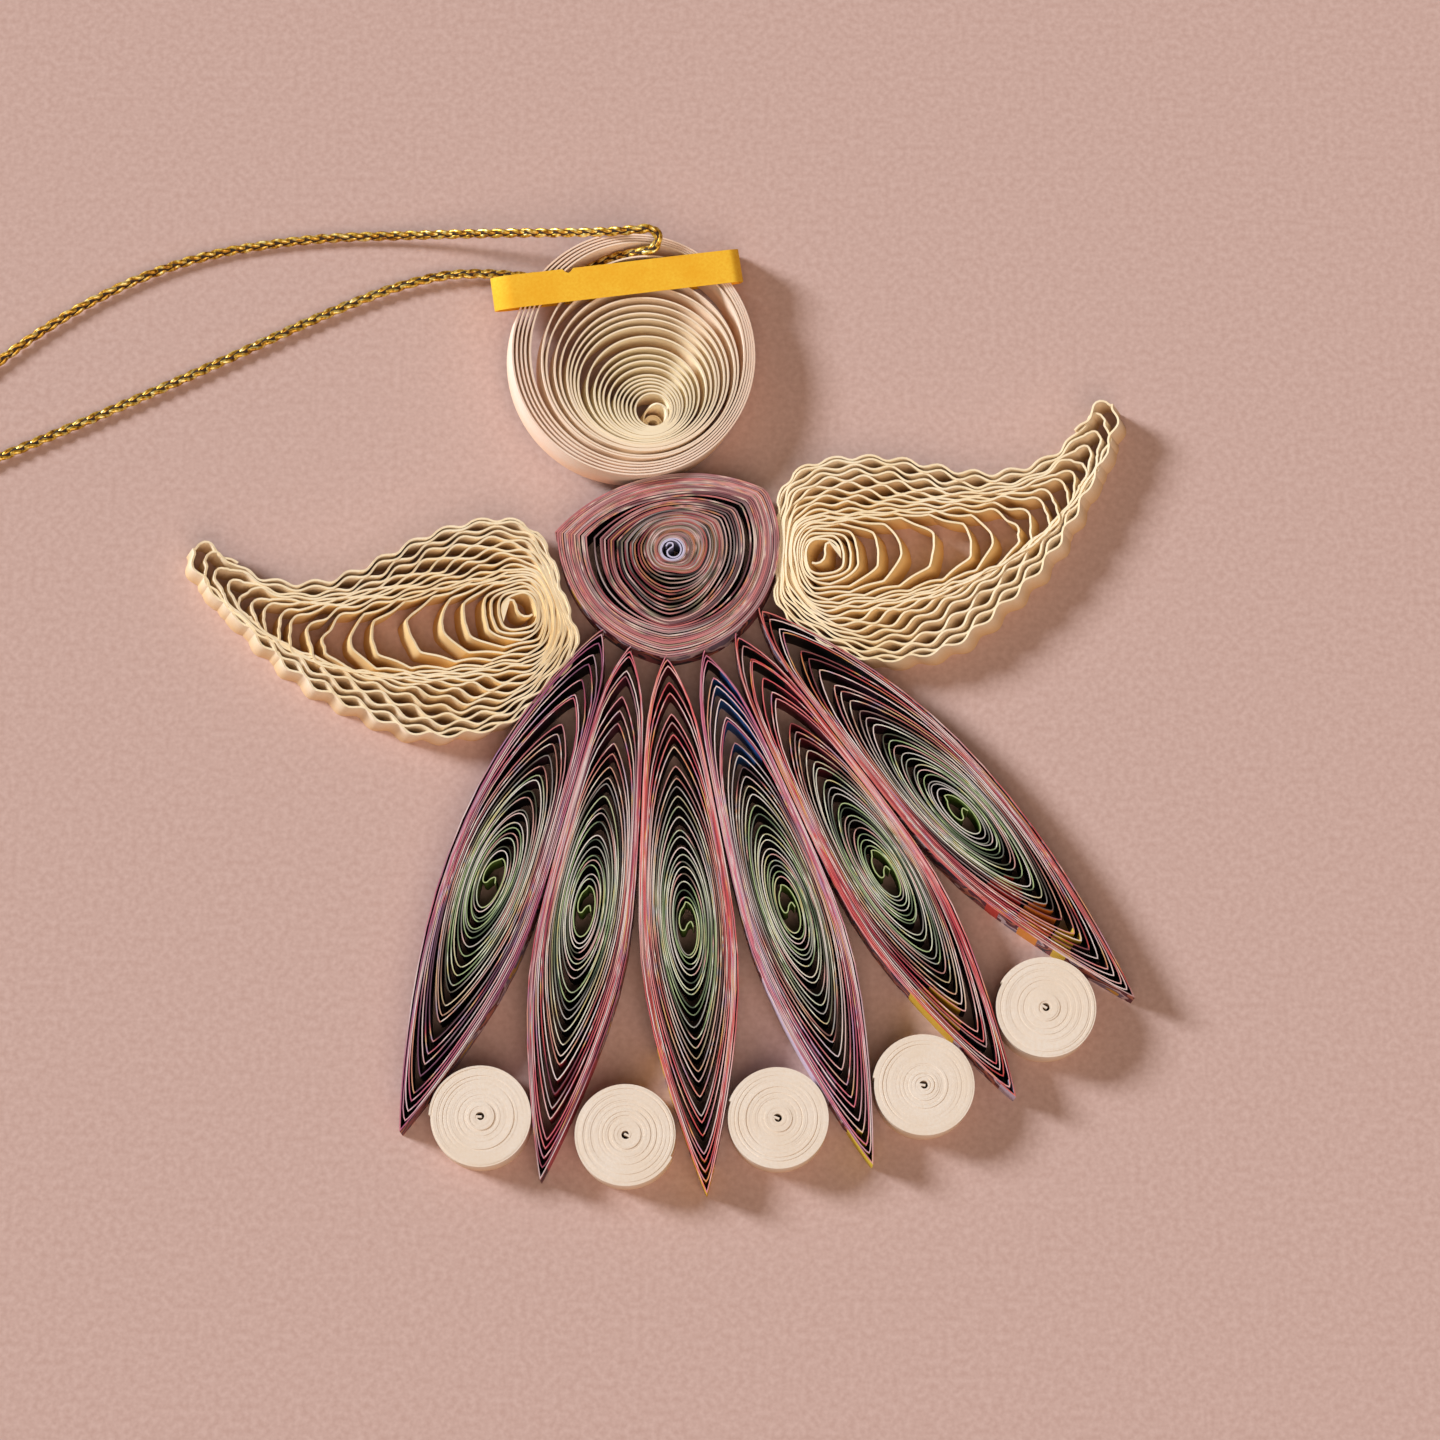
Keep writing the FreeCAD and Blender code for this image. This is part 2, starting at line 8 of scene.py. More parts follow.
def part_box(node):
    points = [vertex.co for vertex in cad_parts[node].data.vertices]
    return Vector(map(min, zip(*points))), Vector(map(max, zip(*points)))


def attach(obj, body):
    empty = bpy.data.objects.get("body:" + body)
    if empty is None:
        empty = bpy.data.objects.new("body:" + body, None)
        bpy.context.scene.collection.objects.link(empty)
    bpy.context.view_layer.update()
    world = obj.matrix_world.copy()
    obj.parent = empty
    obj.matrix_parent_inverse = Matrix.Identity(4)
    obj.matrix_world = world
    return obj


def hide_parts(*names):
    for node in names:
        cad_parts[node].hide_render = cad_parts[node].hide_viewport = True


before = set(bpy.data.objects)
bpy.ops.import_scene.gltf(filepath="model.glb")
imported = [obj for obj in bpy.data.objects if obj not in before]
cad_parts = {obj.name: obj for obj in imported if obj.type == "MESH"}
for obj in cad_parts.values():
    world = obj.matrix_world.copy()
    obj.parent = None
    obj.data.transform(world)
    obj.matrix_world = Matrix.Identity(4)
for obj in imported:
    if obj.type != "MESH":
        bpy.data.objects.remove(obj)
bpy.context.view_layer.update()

MM = 0.001

# The body coil's box in the frame gives the place of its eye and the width of the paper strip
BODY_LEFT_REACH = 9.857
BODY_UP_REACH = 6.622
body_low, body_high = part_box("body_coil")
EYE = Vector((body_low.x / MM + BODY_LEFT_REACH, body_high.y / MM - BODY_UP_REACH, 0))
STRIP_WIDTH = body_high.z / MM

# Camera: straight down but for a small pitch, at the photograph's scale
CAMERA_PITCH = 13.8
CAMERA_DISTANCE = 291.67
CAMERA_LENS = 87.5
CAMERA_SENSOR = 36.0
CAMERA_AIM = (4.049, -14.852, 3.0)

# Light: a low key from the upper left, a broad warm fill from the foot, and a weak warm world
KEY_ELEVATION = 27.0
KEY_BEARING = 157.0
KEY_STRENGTH = 3.9
KEY_ANGLE = 16.0
KEY_TINT = "#F2F8FF"
FILL_ELEVATION = 50.0
FILL_BEARING = 285.0
FILL_STRENGTH = 1.5
FILL_ANGLE = 50.0
WORLD_STRENGTH = 0.12
WARM_TINT = "#FFE2CD"
FLOOR_SIZE = 3000.0


def frame_box(node):
    """A node's lowest and highest corners in millimetres round the body's eye."""
    low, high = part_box(node)
    return low / MM - EYE, high / MM - EYE


def along(degrees):
    """The direction at a bearing, as its two parts."""
    return math.cos(math.radians(degrees)), math.sin(math.radians(degrees))


def mix(first, second, share):
    return first + (second - first) * share


def smooth(share):
    """Eases from 0 to 1 and stays there on both sides."""
    share = min(1.0, max(0.0, share))
    return share * share * (3 - 2 * share)


def staged(stages, at):
    """The values at a place, between the two stages beside it. Each stage starts with its place."""
    for before, after in zip(stages, stages[1:]):
        if at <= after[0]:
            share = (at - before[0]) / (after[0] - before[0])
            return [mix(p, q, share) for p, q in zip(before[1:], after[1:])]
    return list(stages[-1][1:])


def to_metres(point):
    """A place round the body's eye, in the part's own frame."""
    return ((point[0] + EYE.x) * MM, (point[1] + EYE.y) * MM, point[2] * MM)


def choose(piece):
    """Selects one piece alone."""
    bpy.ops.object.select_all(action="DESELECT")
    piece.select_set(True)
    bpy.context.view_layer.objects.active = piece


def linked(name, data):
    piece = bpy.data.objects.new(name, data)
    bpy.context.scene.collection.objects.link(piece)
    return piece


def finished(piece, slot, *nodes):
    """Hides the CAD nodes that a piece replaces and attaches the piece to the root body. The slot
    is not used.
    """
    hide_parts(*nodes)
    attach(piece, "root")
    return piece


# Camera
bpy.ops.object.camera_add()
camera = bpy.context.object
camera.name = "camera"
camera.data.lens = CAMERA_LENS
camera.data.sensor_width = CAMERA_SENSOR
pitch = math.radians(CAMERA_PITCH)
aim = Vector(to_metres(CAMERA_AIM))
camera.location = aim + Vector((0, -math.sin(pitch), math.cos(pitch))) * CAMERA_DISTANCE * MM
camera.rotation_euler = (pitch, 0, 0)
camera.data.clip_start = 0.01
bpy.context.scene.camera = camera

# Materials. First the sizes of the paper's patterns.
PAPER_GRAIN = 0.25
PAPER_GRAIN_DEPTH = 0.02
PAPER_CLOUD = 4.0
# Height in millimetres below the strip's foot at which the painted shade would be full; it fades
# out towards the top edge
PAINTED_SHADE_LEVEL = -1.5
PRINT_GRAIN = 0.3
PRINT_GRAIN_DEPTH = 0.01
PAGE_SIZE = 16.0

# Printed fields and inks, by how often they change in a millimetre of strip
FACE_FIELD_RATE = 0.22
EDGE_INK_RATE = 0.06
EDGE_INK_SHARE = 0.75
EDGE_INK_RANGE = (0.62, 1.13)
EDGE_FLECK_RATE = 0.09
EDGE_FLECK_RANGE = (0.48, 0.66)
EDGE_FLECK = "#F2E9E4"

# Shares of the way out between which a coil's colours change
MIDDLE_TURNS = (0.5, 0.9)
EDGE_OUTER_TURNS = (0.45, 0.72)
EDGE_PAGE_TURNS = (0.55, 0.95)
EDGE_PAGE_SHARE = 0.46
EDGE_START_LENGTH = 0.015
LAST_TURN = 1.02

# Colours of the strip's side: between the turns, dark inks made near black as painted shade, and
# along the last turn, printed inks
PRINT_INK_AND_SHADE = ((0.0, "#09080B"), (0.44, "#151214"), (0.52, "#0C0B0E"), (0.62, "#3E161E"),
              (0.66, "#12151E"), (0.76, "#3E2C24"))
PRINT_OUTER = ((0.0, "#2A2230"), (0.36, "#8A4A50"), (0.43, "#3C3440"), (0.47, "#B06A58"),
               (0.51, "#5E2A38"), (0.56, "#C4AEB4"), (0.6, "#7A6A80"), (0.66, "#D0A040"),
               (0.74, "#33404E"))

# Inks on the cut edge: green inside and pink outside for the petals, and two reds for the body
EDGE_GREEN = ((0.0, "#2E3A30"), (0.27, "#64765A"), (0.37, "#AEC48E"), (0.45, "#7E966A"),
              (0.5, "#E0E8CE"), (0.56, "#C4BC7C"), (0.6, "#9CA99C"), (0.68, "#D6A49C"),
              (0.77, "#4E523F"))
EDGE_PINK = ((0.0, "#4C1E2C"), (0.25, "#B4405A"), (0.35, "#EA8684"), (0.44, "#C65064"),
             (0.5, "#F6E0DC"), (0.55, "#E0726C"), (0.6, "#B090B8"), (0.66, "#E4BC6C"),
             (0.71, "#C04246"), (0.8, "#5E3848"))
EDGE_MOSS = ((0.0, "#26121A"), (0.25, "#84343E"), (0.34, "#B06058"), (0.4, "#3A2E2A"),
             (0.46, "#7A6A54"), (0.5, "#CFA8A2"), (0.54, "#5E4A40"), (0.6, "#B87A56"),
             (0.66, "#A4525C"), (0.72, "#A69088"), (0.8, "#2C2426"))
EDGE_BODY = ((0.0, "#26121A"), (0.24, "#8E3A44"), (0.34, "#C86E6C"), (0.41, "#4E3C36"),
             (0.45, "#8A9270"), (0.49, "#D69C8C"), (0.53, "#B04C52"), (0.58, "#D4985E"),
             (0.63, "#987484"), (0.68, "#E6D9C4"), (0.73, "#64283A"), (0.82, "#2E1C26"))


def colour(text):
    """The linear colour of an sRGB hex value."""
    parts = [int(text[i:i + 2], 16) / 255 for i in (1, 3, 5)]
    return [p / 12.92 if p <= 0.04045 else ((p + 0.055) / 1.055) ** 2.4 for p in parts] + [1.0]


def add(material, kind, inputs=None, stops=(), **settings):
    """A node with its settings, its inputs, which are values or other nodes' outputs, and the
    stops of its colour ramp, each a position and a hex value."""
    node = material.node_tree.nodes.new(kind)
    for name, value in settings.items():
        setattr(node, name, value)
    for name, value in (inputs or {}).items():
        if isinstance(value, bpy.types.NodeSocket):
            material.node_tree.links.new(value, node.inputs[name])
        else:
            node.inputs[name].default_value = value
    if stops:
        elements = node.color_ramp.elements
        while len(elements) < len(stops):
            elements.new(0.5)
        for element, (position, text) in zip(elements, stops):
            element.position = position
            element.color = colour(text)
    return node


def new_material(name):
    material = bpy.data.materials.new(name)
    material.use_nodes = True
    return material, material.node_tree.nodes["Principled BSDF"]


def coat(material, shader, tint, roughness, specular=0.5, metallic=0.0):
    """Gives the shader its colour, and says how the surface takes the light."""
    material.node_tree.links.new(tint, shader.inputs["Base Color"])
    shader.inputs["Roughness"].default_value = roughness
    shader.inputs["Specular IOR Level"].default_value = specular
    shader.inputs["Metallic"].default_value = metallic
    return material


def blend(material, value, low, high, first, second, most=1.0):
    """The first colour, which passes into the second as a value rises from low to high."""
    share = add(material, "ShaderNodeMapRange",
                {"Value": value, "From Min": low, "From Max": high, "To Max": most})
    return add(material, "ShaderNodeMix",
               {"Factor": share.outputs["Result"], "A": first, "B": second},
               data_type="RGBA").outputs["Result"]


def paper_bump(material, shader, grain, depth):
    """The fibres of uncoated paper, drawn coarser than the real 0.02 mm so that they show."""
    spot = add(material, "ShaderNodeTexCoord").outputs["Object"]
    fibres = add(material, "ShaderNodeTexNoise",
                 {"Vector": spot, "Scale": 1 / (grain * MM), "Detail": 3.0, "Roughness": 0.6})
    bump = add(material, "ShaderNodeBump",
               {"Height": fibres.outputs["Fac"], "Strength": 0.5, "Distance": depth * MM})
    material.node_tree.links.new(bump.outputs["Normal"], shader.inputs["Normal"])
    return fibres.outputs["Fac"]


def plain_paper(name, light, dark, painted_shade, middle=None):
    """Uncoated dyed paper: it gives the eye a matt, slightly cloudy colour, with a painted warm
    shade that darkens it towards the strip's foot, deep between the turns. The middle, if given, is
    the
    colour of the inner turns: partly the paper's own tone and partly painted light and shade."""
    material, shader = new_material(name)
    fibres = paper_bump(material, shader, PAPER_GRAIN, PAPER_GRAIN_DEPTH)
    spot = add(material, "ShaderNodeTexCoord").outputs["Object"]
    clouds = add(material, "ShaderNodeTexNoise",
                 {"Vector": spot, "Scale": 1 / (PAPER_CLOUD * MM), "Detail": 2.0})
    mixed = add(material, "ShaderNodeMath", {0: fibres, 1: clouds.outputs["Fac"]},
                operation="MULTIPLY")
    tint = add(material, "ShaderNodeValToRGB", {"Fac": mixed.outputs["Value"]},
               ((0.12, dark), (0.38, light))).outputs["Color"]
    # The inner turns' colour: partly the paper's own tone and partly painted light and shade
    if middle:
        turn = add(material, "ShaderNodeAttribute", attribute_name="outward").outputs["Fac"]
        tint = blend(material, turn, *MIDDLE_TURNS, colour(middle), tint)
    height = add(material, "ShaderNodeSeparateXYZ", {"Vector": spot}).outputs["Z"]
    # Painted shade: the colour darkens and warms towards the strip's foot, where the turns shade
    # each other
    tint = blend(material, height, PAINTED_SHADE_LEVEL * MM, STRIP_WIDTH * MM, colour(painted_shade), tint)
    return coat(material, shader, tint, roughness=0.85, specular=0.25)


def print_face(name, seed, turns, patches):
    """The printed side of recycled magazine paper: it gives the eye a satin dark between the turns,
    dark ink with painted shade, and fields of colour along the last turn. Each patch is a place, a
    radius and its colour."""
    material, shader = new_material(name)
    way = add(material, "ShaderNodeAttribute", attribute_name="way").outputs["Fac"]
    turn = add(material, "ShaderNodeAttribute", attribute_name="outward").outputs["Fac"]
    spot = add(material, "ShaderNodeTexCoord").outputs["Object"]
    height = add(material, "ShaderNodeSeparateXYZ", {"Vector": spot}).outputs["Z"]
    tall = add(material, "ShaderNodeMath", {0: height, 1: 1 / MM}, operation="MULTIPLY")
    on_strip = add(material, "ShaderNodeCombineXYZ",
                   {"X": way, "Y": tall.outputs["Value"], "Z": seed})
    fields = add(material, "ShaderNodeTexNoise",
                 {"Vector": on_strip.outputs["Vector"], "Scale": FACE_FIELD_RATE, "Detail": 1.5,
                  "Roughness": 0.8})
    # Between the turns, dark ink with painted shade; along the last turn, the printed fields
    inks = []
    for palette in (PRINT_INK_AND_SHADE, PRINT_OUTER):
        ramp = add(material, "ShaderNodeValToRGB", {"Fac": fields.outputs["Fac"]}, palette)
        ramp.color_ramp.interpolation = "CONSTANT"
        inks.append(ramp.outputs["Color"])
    outermost = add(material, "ShaderNodeMath", {0: turn, 1: 1 - LAST_TURN / turns},
                    operation="GREATER_THAN")
    tint = add(material, "ShaderNodeMix",
               {"Factor": outermost.outputs["Value"], "A": inks[0], "B": inks[1]},
               data_type="RGBA").outputs["Result"]
    level = add(material, "ShaderNodeVectorMath", {0: spot, 1: (1, 1, 0)}, operation="MULTIPLY")
    for x, y, radius, text in patches:
        away = add(material, "ShaderNodeVectorMath",
                   {0: level.outputs["Vector"], 1: to_metres((x, y, 0))}, operation="DISTANCE")
        inside = add(material, "ShaderNodeMath", {0: away.outputs["Value"], 1: radius * MM},
                     operation="LESS_THAN")
        tint = add(material, "ShaderNodeMix",
                   {"Factor": inside.outputs["Value"], "A": tint, "B": colour(text)},
                   data_type="RGBA").outputs["Result"]
    paper_bump(material, shader, PRINT_GRAIN, PRINT_GRAIN_DEPTH)
    return coat(material, shader, tint, roughness=0.55, specular=0.22)


def print_edge(name, inner, outer, seed, layers, paleness, start_colour, start_share, page_colour):
    """The cut edge of printed paper: it gives the eye fine matt lines stained by the inks beside
    them, in bands of a few turns because neighbouring turns come from the same page. The strip's
    start is a margin of one colour."""
    material, shader = new_material(name)
    way = add(material, "ShaderNodeAttribute", attribute_name="way").outputs["Fac"]
    turn = add(material, "ShaderNodeAttribute", attribute_name="outward").outputs["Fac"]
    spot = add(material, "ShaderNodeTexCoord").outputs["Object"]
    # A page's ink changes slowly across the coil and faster from turn to turn
    rate = 1 / (PAGE_SIZE * MM)
    level = add(material, "ShaderNodeVectorMath", {0: spot, 1: (rate, rate, 0)},
                operation="MULTIPLY")
    layer = add(material, "ShaderNodeMath", {0: turn, 1: layers, 2: seed}, operation="MULTIPLY_ADD")
    layered = add(material, "ShaderNodeCombineXYZ", {"Z": layer.outputs["Value"]})
    page = add(material, "ShaderNodeVectorMath",
               {0: level.outputs["Vector"], 1: layered.outputs["Vector"]}, operation="ADD")
    broad = add(material, "ShaderNodeTexNoise",
                {"Vector": page.outputs["Vector"], "Scale": 1.0, "Detail": 1.0})
    on_strip = add(material, "ShaderNodeCombineXYZ", {"X": way, "Z": seed}).outputs["Vector"]
    fine = add(material, "ShaderNodeTexNoise",
               {"Vector": on_strip, "Scale": EDGE_INK_RATE, "Detail": 1.0})
    both = add(material, "ShaderNodeMath",
               {0: fine.outputs["Fac"], 1: EDGE_INK_SHARE, 2: broad.outputs["Fac"]},
               operation="MULTIPLY_ADD")
    low, high = EDGE_INK_RANGE
    ink = add(material, "ShaderNodeMapRange",
              {"Value": both.outputs["Value"], "From Min": low, "From Max": high})
    inks = [add(material, "ShaderNodeValToRGB", {"Fac": ink.outputs["Result"]},
                palette).outputs["Color"] for palette in (inner, outer)]
    tint = blend(material, turn, *EDGE_OUTER_TURNS, *inks)
    tint = blend(material, turn, *EDGE_PAGE_TURNS, tint, colour(page_colour), EDGE_PAGE_SHARE)
    flecks = add(material, "ShaderNodeTexNoise",
                 {"Vector": on_strip, "Scale": EDGE_FLECK_RATE, "Detail": 1.5}).outputs["Fac"]
    tint = blend(material, flecks, *EDGE_FLECK_RANGE, tint, colour(EDGE_FLECK), paleness)
    tint = blend(material, turn, start_share, start_share + EDGE_START_LENGTH,
                 colour(start_colour), tint)
    return coat(material, shader, tint, roughness=0.7, specular=0.35)


# Each paper's third colour is its painted shade at the strip's foot
cream = plain_paper("uncoated_cream_paper", "#EDE3D5", "#E8D9C5", "#DDB692")
# The fourth colour is the inner turns' tone: inside the head partly the paper's own and partly
# painted light, inside the wings partly the paper's own and partly painted shade
head_cream = plain_paper("uncoated_cream_paper_head", "#FFECDA", "#FDE2CB", "#F2A85C", "#FFF2D2")
wing_face = plain_paper("crimped_cream_paper_side", "#FCF0DA", "#F6E4C2", "#DCA860", "#F4D69C")
wing_edge = plain_paper("crimped_cream_paper_edge", "#FCF0D2", "#F7E3B8", "#EBCE98")
yellow = plain_paper("yellow_dyed_paper", "#FFCC3C", "#F8B728", "#F0A81E")

# Strips. A wave of the top edge has a rate, a phase and a size, and the turns differ in height.
WAVES = 6
WAVE_RATES = (0.03, 0.5)
WAVE_PHASES = (0, 6.28)
WAVE_SIZES = (0.2, 0.5)
TURN_HEIGHTS = 64
TURN_HEIGHT_RATE = 40
SMOOTH_UNDER = 35


def strip(name, path, thickness, height, face, edge, outward, seed, lean=(0.0, 0.0), uneven=0.03,
          top=None):
    """A paper strip that stands on its edge along a path: a chain of edges pulled up and thickened.
    It leans by the shift of its foot, and its top edge is uneven, as hand winding leaves it. The
    top, if given, says how much higher the strip is at a way along it and a share outwards."""
    mesh = bpy.data.meshes.new(name)
    last = len(path) - 1
    mesh.from_pydata([(x * MM, y * MM, 0) for x, y in path], [(i, i + 1) for i in range(last)], [])
    way = mesh.attributes.new("way", "FLOAT", "POINT")
    share = mesh.attributes.new("outward", "FLOAT", "POINT")
    walked = 0.0
    for i, point in enumerate(path):
        if i:
            walked += math.dist(point, path[i - 1])
        way.data[i].value = walked
        share.data[i].value = outward[i]
    piece = linked(name, mesh)
    choose(piece)
    bpy.ops.object.mode_set(mode="EDIT")
    bpy.ops.mesh.select_all(action="SELECT")
    bpy.ops.mesh.extrude_edges_move(TRANSFORM_OT_translate={"value": (0, 0, height * MM)})
    bpy.ops.mesh.select_all(action="SELECT")
    bpy.ops.mesh.normals_make_consistent(inside=False)
    bpy.ops.object.mode_set(mode="OBJECT")
    draw = random.Random(seed)
    waves = [(draw.uniform(*WAVE_RATES), draw.uniform(*WAVE_PHASES), draw.uniform(*WAVE_SIZES))
             for _ in range(WAVES)]
    heights = [draw.uniform(-1, 1) for _ in range(TURN_HEIGHTS)]
    ways, turns = mesh.attributes["way"].data, mesh.attributes["outward"].data
    for vertex, distance, turn in zip(mesh.vertices, ways, turns):
        if vertex.co.z < height * MM / 2:
            vertex.co.x += lean[0] * MM
            vertex.co.y += lean[1] * MM
            continue
        wave = sum(size * math.sin(rate * distance.value + phase) for rate, phase, size in waves)
        at = turn.value * TURN_HEIGHT_RATE
        step = mix(heights[int(at)], heights[int(at) + 1], smooth(at % 1))
        vertex.co.z += (0.5 * wave + step - 1) * uneven * MM
        if top:
            vertex.co.z += top(distance.value, turn.value) * MM
    piece.data.materials.append(face)
    piece.data.materials.append(edge)
    thicken = piece.modifiers.new("thickness", "SOLIDIFY")
    thicken.thickness = thickness * MM
    thicken.offset = 0
    thicken.use_even_offset = True
    thicken.thickness_clamp = 0
    thicken.material_offset_rim = 1
    choose(piece)
    bpy.ops.object.modifier_apply(modifier=thicken.name)
    bpy.ops.object.shade_smooth_by_angle(angle=math.radians(SMOOTH_UNDER))
    return piece


def place(piece, x, y, z=0.0):
    """Moves a piece's mesh to its place round the body's eye."""
    piece.data.transform(Matrix.Translation(((x + EYE.x) * MM, (y + EYE.y) * MM, z * MM)))


def catmull(points, t):
    """A point on the smooth curve through points, t from 0 at the first to 1 at the last."""
    at = min(t, 0.999999) * (len(points) - 1)
    i = int(at)
    f = at - i
    p, q = points[max(i - 1, 0)], points[i]
    r, s = points[i + 1], points[min(i + 2, len(points) - 1)]
    return [0.5 * (2 * b + (c - a) * f + (2 * a - 5 * b + 4 * c - d) * f ** 2
                   + (3 * b - a - 3 * c + d) * f ** 3) for a, b, c, d in zip(p, q, r, s)]


# Head: a loose coil of cream strip that is packed at its foot. Each stage is a turn and how far
# left, right, down and up the turn reaches, from the middle of the head.
HEAD_MIDDLE = (-3.5, 17.15)
HEAD_STAGES = (
    (0.0, 1.25, 2.07, -6.3, -5.48), (2.8, 0.94, 2.42, -6.5, -5.05), (3.3, 0.9, 2.5, -6.52, -4.95),
    (4.0, 0.24, 2.99, -6.55, -3.72),
    (6.0, -0.5, 3.3, -6.8, -3.1), (9.0, -1.6, 4.0, -7.2, -2.1), (10.0, -2.1, 4.3, -7.32, -1.5),
    (14.0, -3.75, 5.66, -7.85, 0.9), (15.0, -4.5, 6.15, -8.0, 1.8), (18.0, -5.6, 7.4, -8.4, 4.0),
    (20.0, -6.64, 8.2, -8.7, 5.4), (20.7, -7.35, 8.75, -9.15, 6.7), (22.0, -7.75, 9.0, -9.4, 7.3),
    (22.7, -8.6, 9.45, -9.75, 9.85), (24.0, -9.15, 9.75, -10.05, 10.2),
    (27.5, -10.42, 10.42, -10.97, 10.97))
HEAD_TURNS = 27.5
HEAD_SIDES = 96
HEAD_START = -74
HEAD_UNEVEN = 0.4
HEAD_UNEVEN_TURNS = (8, 23)
HEAD_CORE_TURNS = 3.6
HEAD_CORE_SUNK = 1.5
HEAD_CORE_STEEPNESS = 3
HEAD_STRIP = 0.14
HEAD_LEAN = 8.0
HEAD_TILT = 3.8
HEAD_HINGE = 10.5
HALO_STRIP = 0.2
HALO_CLEARANCE = 0.06


def head_path():
    draw = random.Random(4)
    first, last = HEAD_UNEVEN_TURNS
    uneven = [draw.uniform(-HEAD_UNEVEN, HEAD_UNEVEN) if first < i < last else 0.0
              for i in range(int(HEAD_TURNS) + 3)]
    path = []
    outward = []
    for i in range(int(HEAD_TURNS * HEAD_SIDES) + 1):
        turn = i / HEAD_SIDES
        nudge = mix(uneven[int(turn)], uneven[int(turn) + 1], smooth(turn % 1))
        left, right, down, up = staged(HEAD_STAGES, turn + nudge)
        dx, dy = along(HEAD_START - 360 * turn)
        path.append(((left + right) / 2 + (right - left) / 2 * dx,
                     (down + up) / 2 + (up - down) / 2 * dy))
        outward.append(turn / HEAD_TURNS)
    return path, outward


def tilt_head(piece):
    """Turns a piece about the head's right foot, so that its left side lifts."""
    hinge = Matrix.Translation(Vector(to_metres((HEAD_MIDDLE[0] + HEAD_HINGE, 0, 0))))
    tilt = Matrix.Rotation(math.radians(HEAD_TILT), 4, "Y")
    piece.data.transform(hinge @ tilt @ hinge.inverted())


def make_head():
    path, outward = head_path()
    lean = -STRIP_WIDTH * math.sin(math.radians(HEAD_LEAN))
    height = STRIP_WIDTH * math.cos(math.radians(HEAD_LEAN))

    def sunk(way, share):
        past_core = share * HEAD_TURNS - HEAD_CORE_TURNS
        return -HEAD_CORE_SUNK * (1 - smooth(past_core * HEAD_CORE_STEEPNESS + 1))

    head = strip("head_coil_paper", path, HEAD_STRIP, height, head_cream, head_cream, outward, 3,
                 (lean, 0.0), top=sunk)
    place(head, *HEAD_MIDDLE, HALO_STRIP + HALO_CLEARANCE)
    tilt_head(head)
    finished(head, "cream_paper", "head_coil")


make_head()

# Body: a shield of printed strip. Each stage is a turn and its share of the way out towards the
# right corner, the top, the left corner, the left side, the foot and the right side. The eye is
# the strip's unprinted start, an S.
BODY_OUTLINE = ((-9.9, 1.5), (-1.2, 6.5), (8.0, 5.3), (7.8, -4.4), (-0.5, -9.6), (-7.2, -5.6))
BODY_STAGES = (
    (0, 0.1, 0.145, 0.098, 0.107, 0.1, 0.11), (15, 0.32, 0.36, 0.225, 0.235, 0.2, 0.31),
    (27, 0.52, 0.545, 0.5, 0.56, 0.63, 0.52), (28, 0.573, 0.555, 0.53, 0.585, 0.645, 0.58),
    (33, 0.68, 0.68, 0.64, 0.68, 0.71, 0.68), (34, 0.76, 0.705, 0.74, 0.764, 0.728, 0.76),
    (48, 1.0, 1.0, 1.0, 1.0, 1.0, 1.0))
BODY_TURNS = 48
BODY_SIDES = 108
BODY_ROUND_TURNS = 10
BODY_SHIELD_TURNS = 30
BODY_UNEVEN = 0.3
BODY_UNEVEN_TURNS = (14, 45)
BODY_EYE = (
    (-0.5, 0.28), (-0.3, 0.55), (0.02, 0.52), (0.06, 0.25), (-0.2, 0.05), (-0.4, -0.2),
    (-0.3, -0.55), (0.1, -0.72), (0.55, -0.55), (0.76, -0.1), (0.66, 0.4), (0.3, 0.74),
    (-0.2, 0.82), (-0.68, 0.55), (-0.88, 0.16))
BODY_EYE_STEPS = 60
BODY_EYE_PATCH = (0.0, 0.0, 1.7, "#8E90AC")
BODY_STRIP = 0.128


def circle_through(first, middle, last):
    (ax, ay), (bx, by), (cx, cy) = first, middle, last
    d = 2 * (ax * (by - cy) + bx * (cy - ay) + cx * (ay - by))
    a, b, c = ax * ax + ay * ay, bx * bx + by * by, cx * cx + cy * cy
    x = (a * (by - cy) + b * (cy - ay) + c * (ay - by)) / d
    y = (a * (cx - bx) + b * (ax - cx) + c * (bx - ax)) / d
    return x, y, math.hypot(ax - x, ay - y)


def bearing(point):
    return math.degrees(math.atan2(point[1], point[0])) % 360


def body_reach(degrees):
    """How far the shield's outline is from the eye at a bearing."""
    left, top, right, right_side, foot, left_side = BODY_OUTLINE
    degrees %= 360
    if bearing(right) <= degrees <= bearing(left):
        stretch = (right, top, left)
    elif bearing(left) < degrees <= bearing(foot):
        stretch = (left, left_side, foot)
    else:
        stretch = (foot, right_side, right)
    x, y, radius = circle_through(*stretch)
    dx, dy = along(degrees)
    middle = dx * x + dy * y
    return middle + math.sqrt(middle * middle - x * x - y * y + radius * radius)


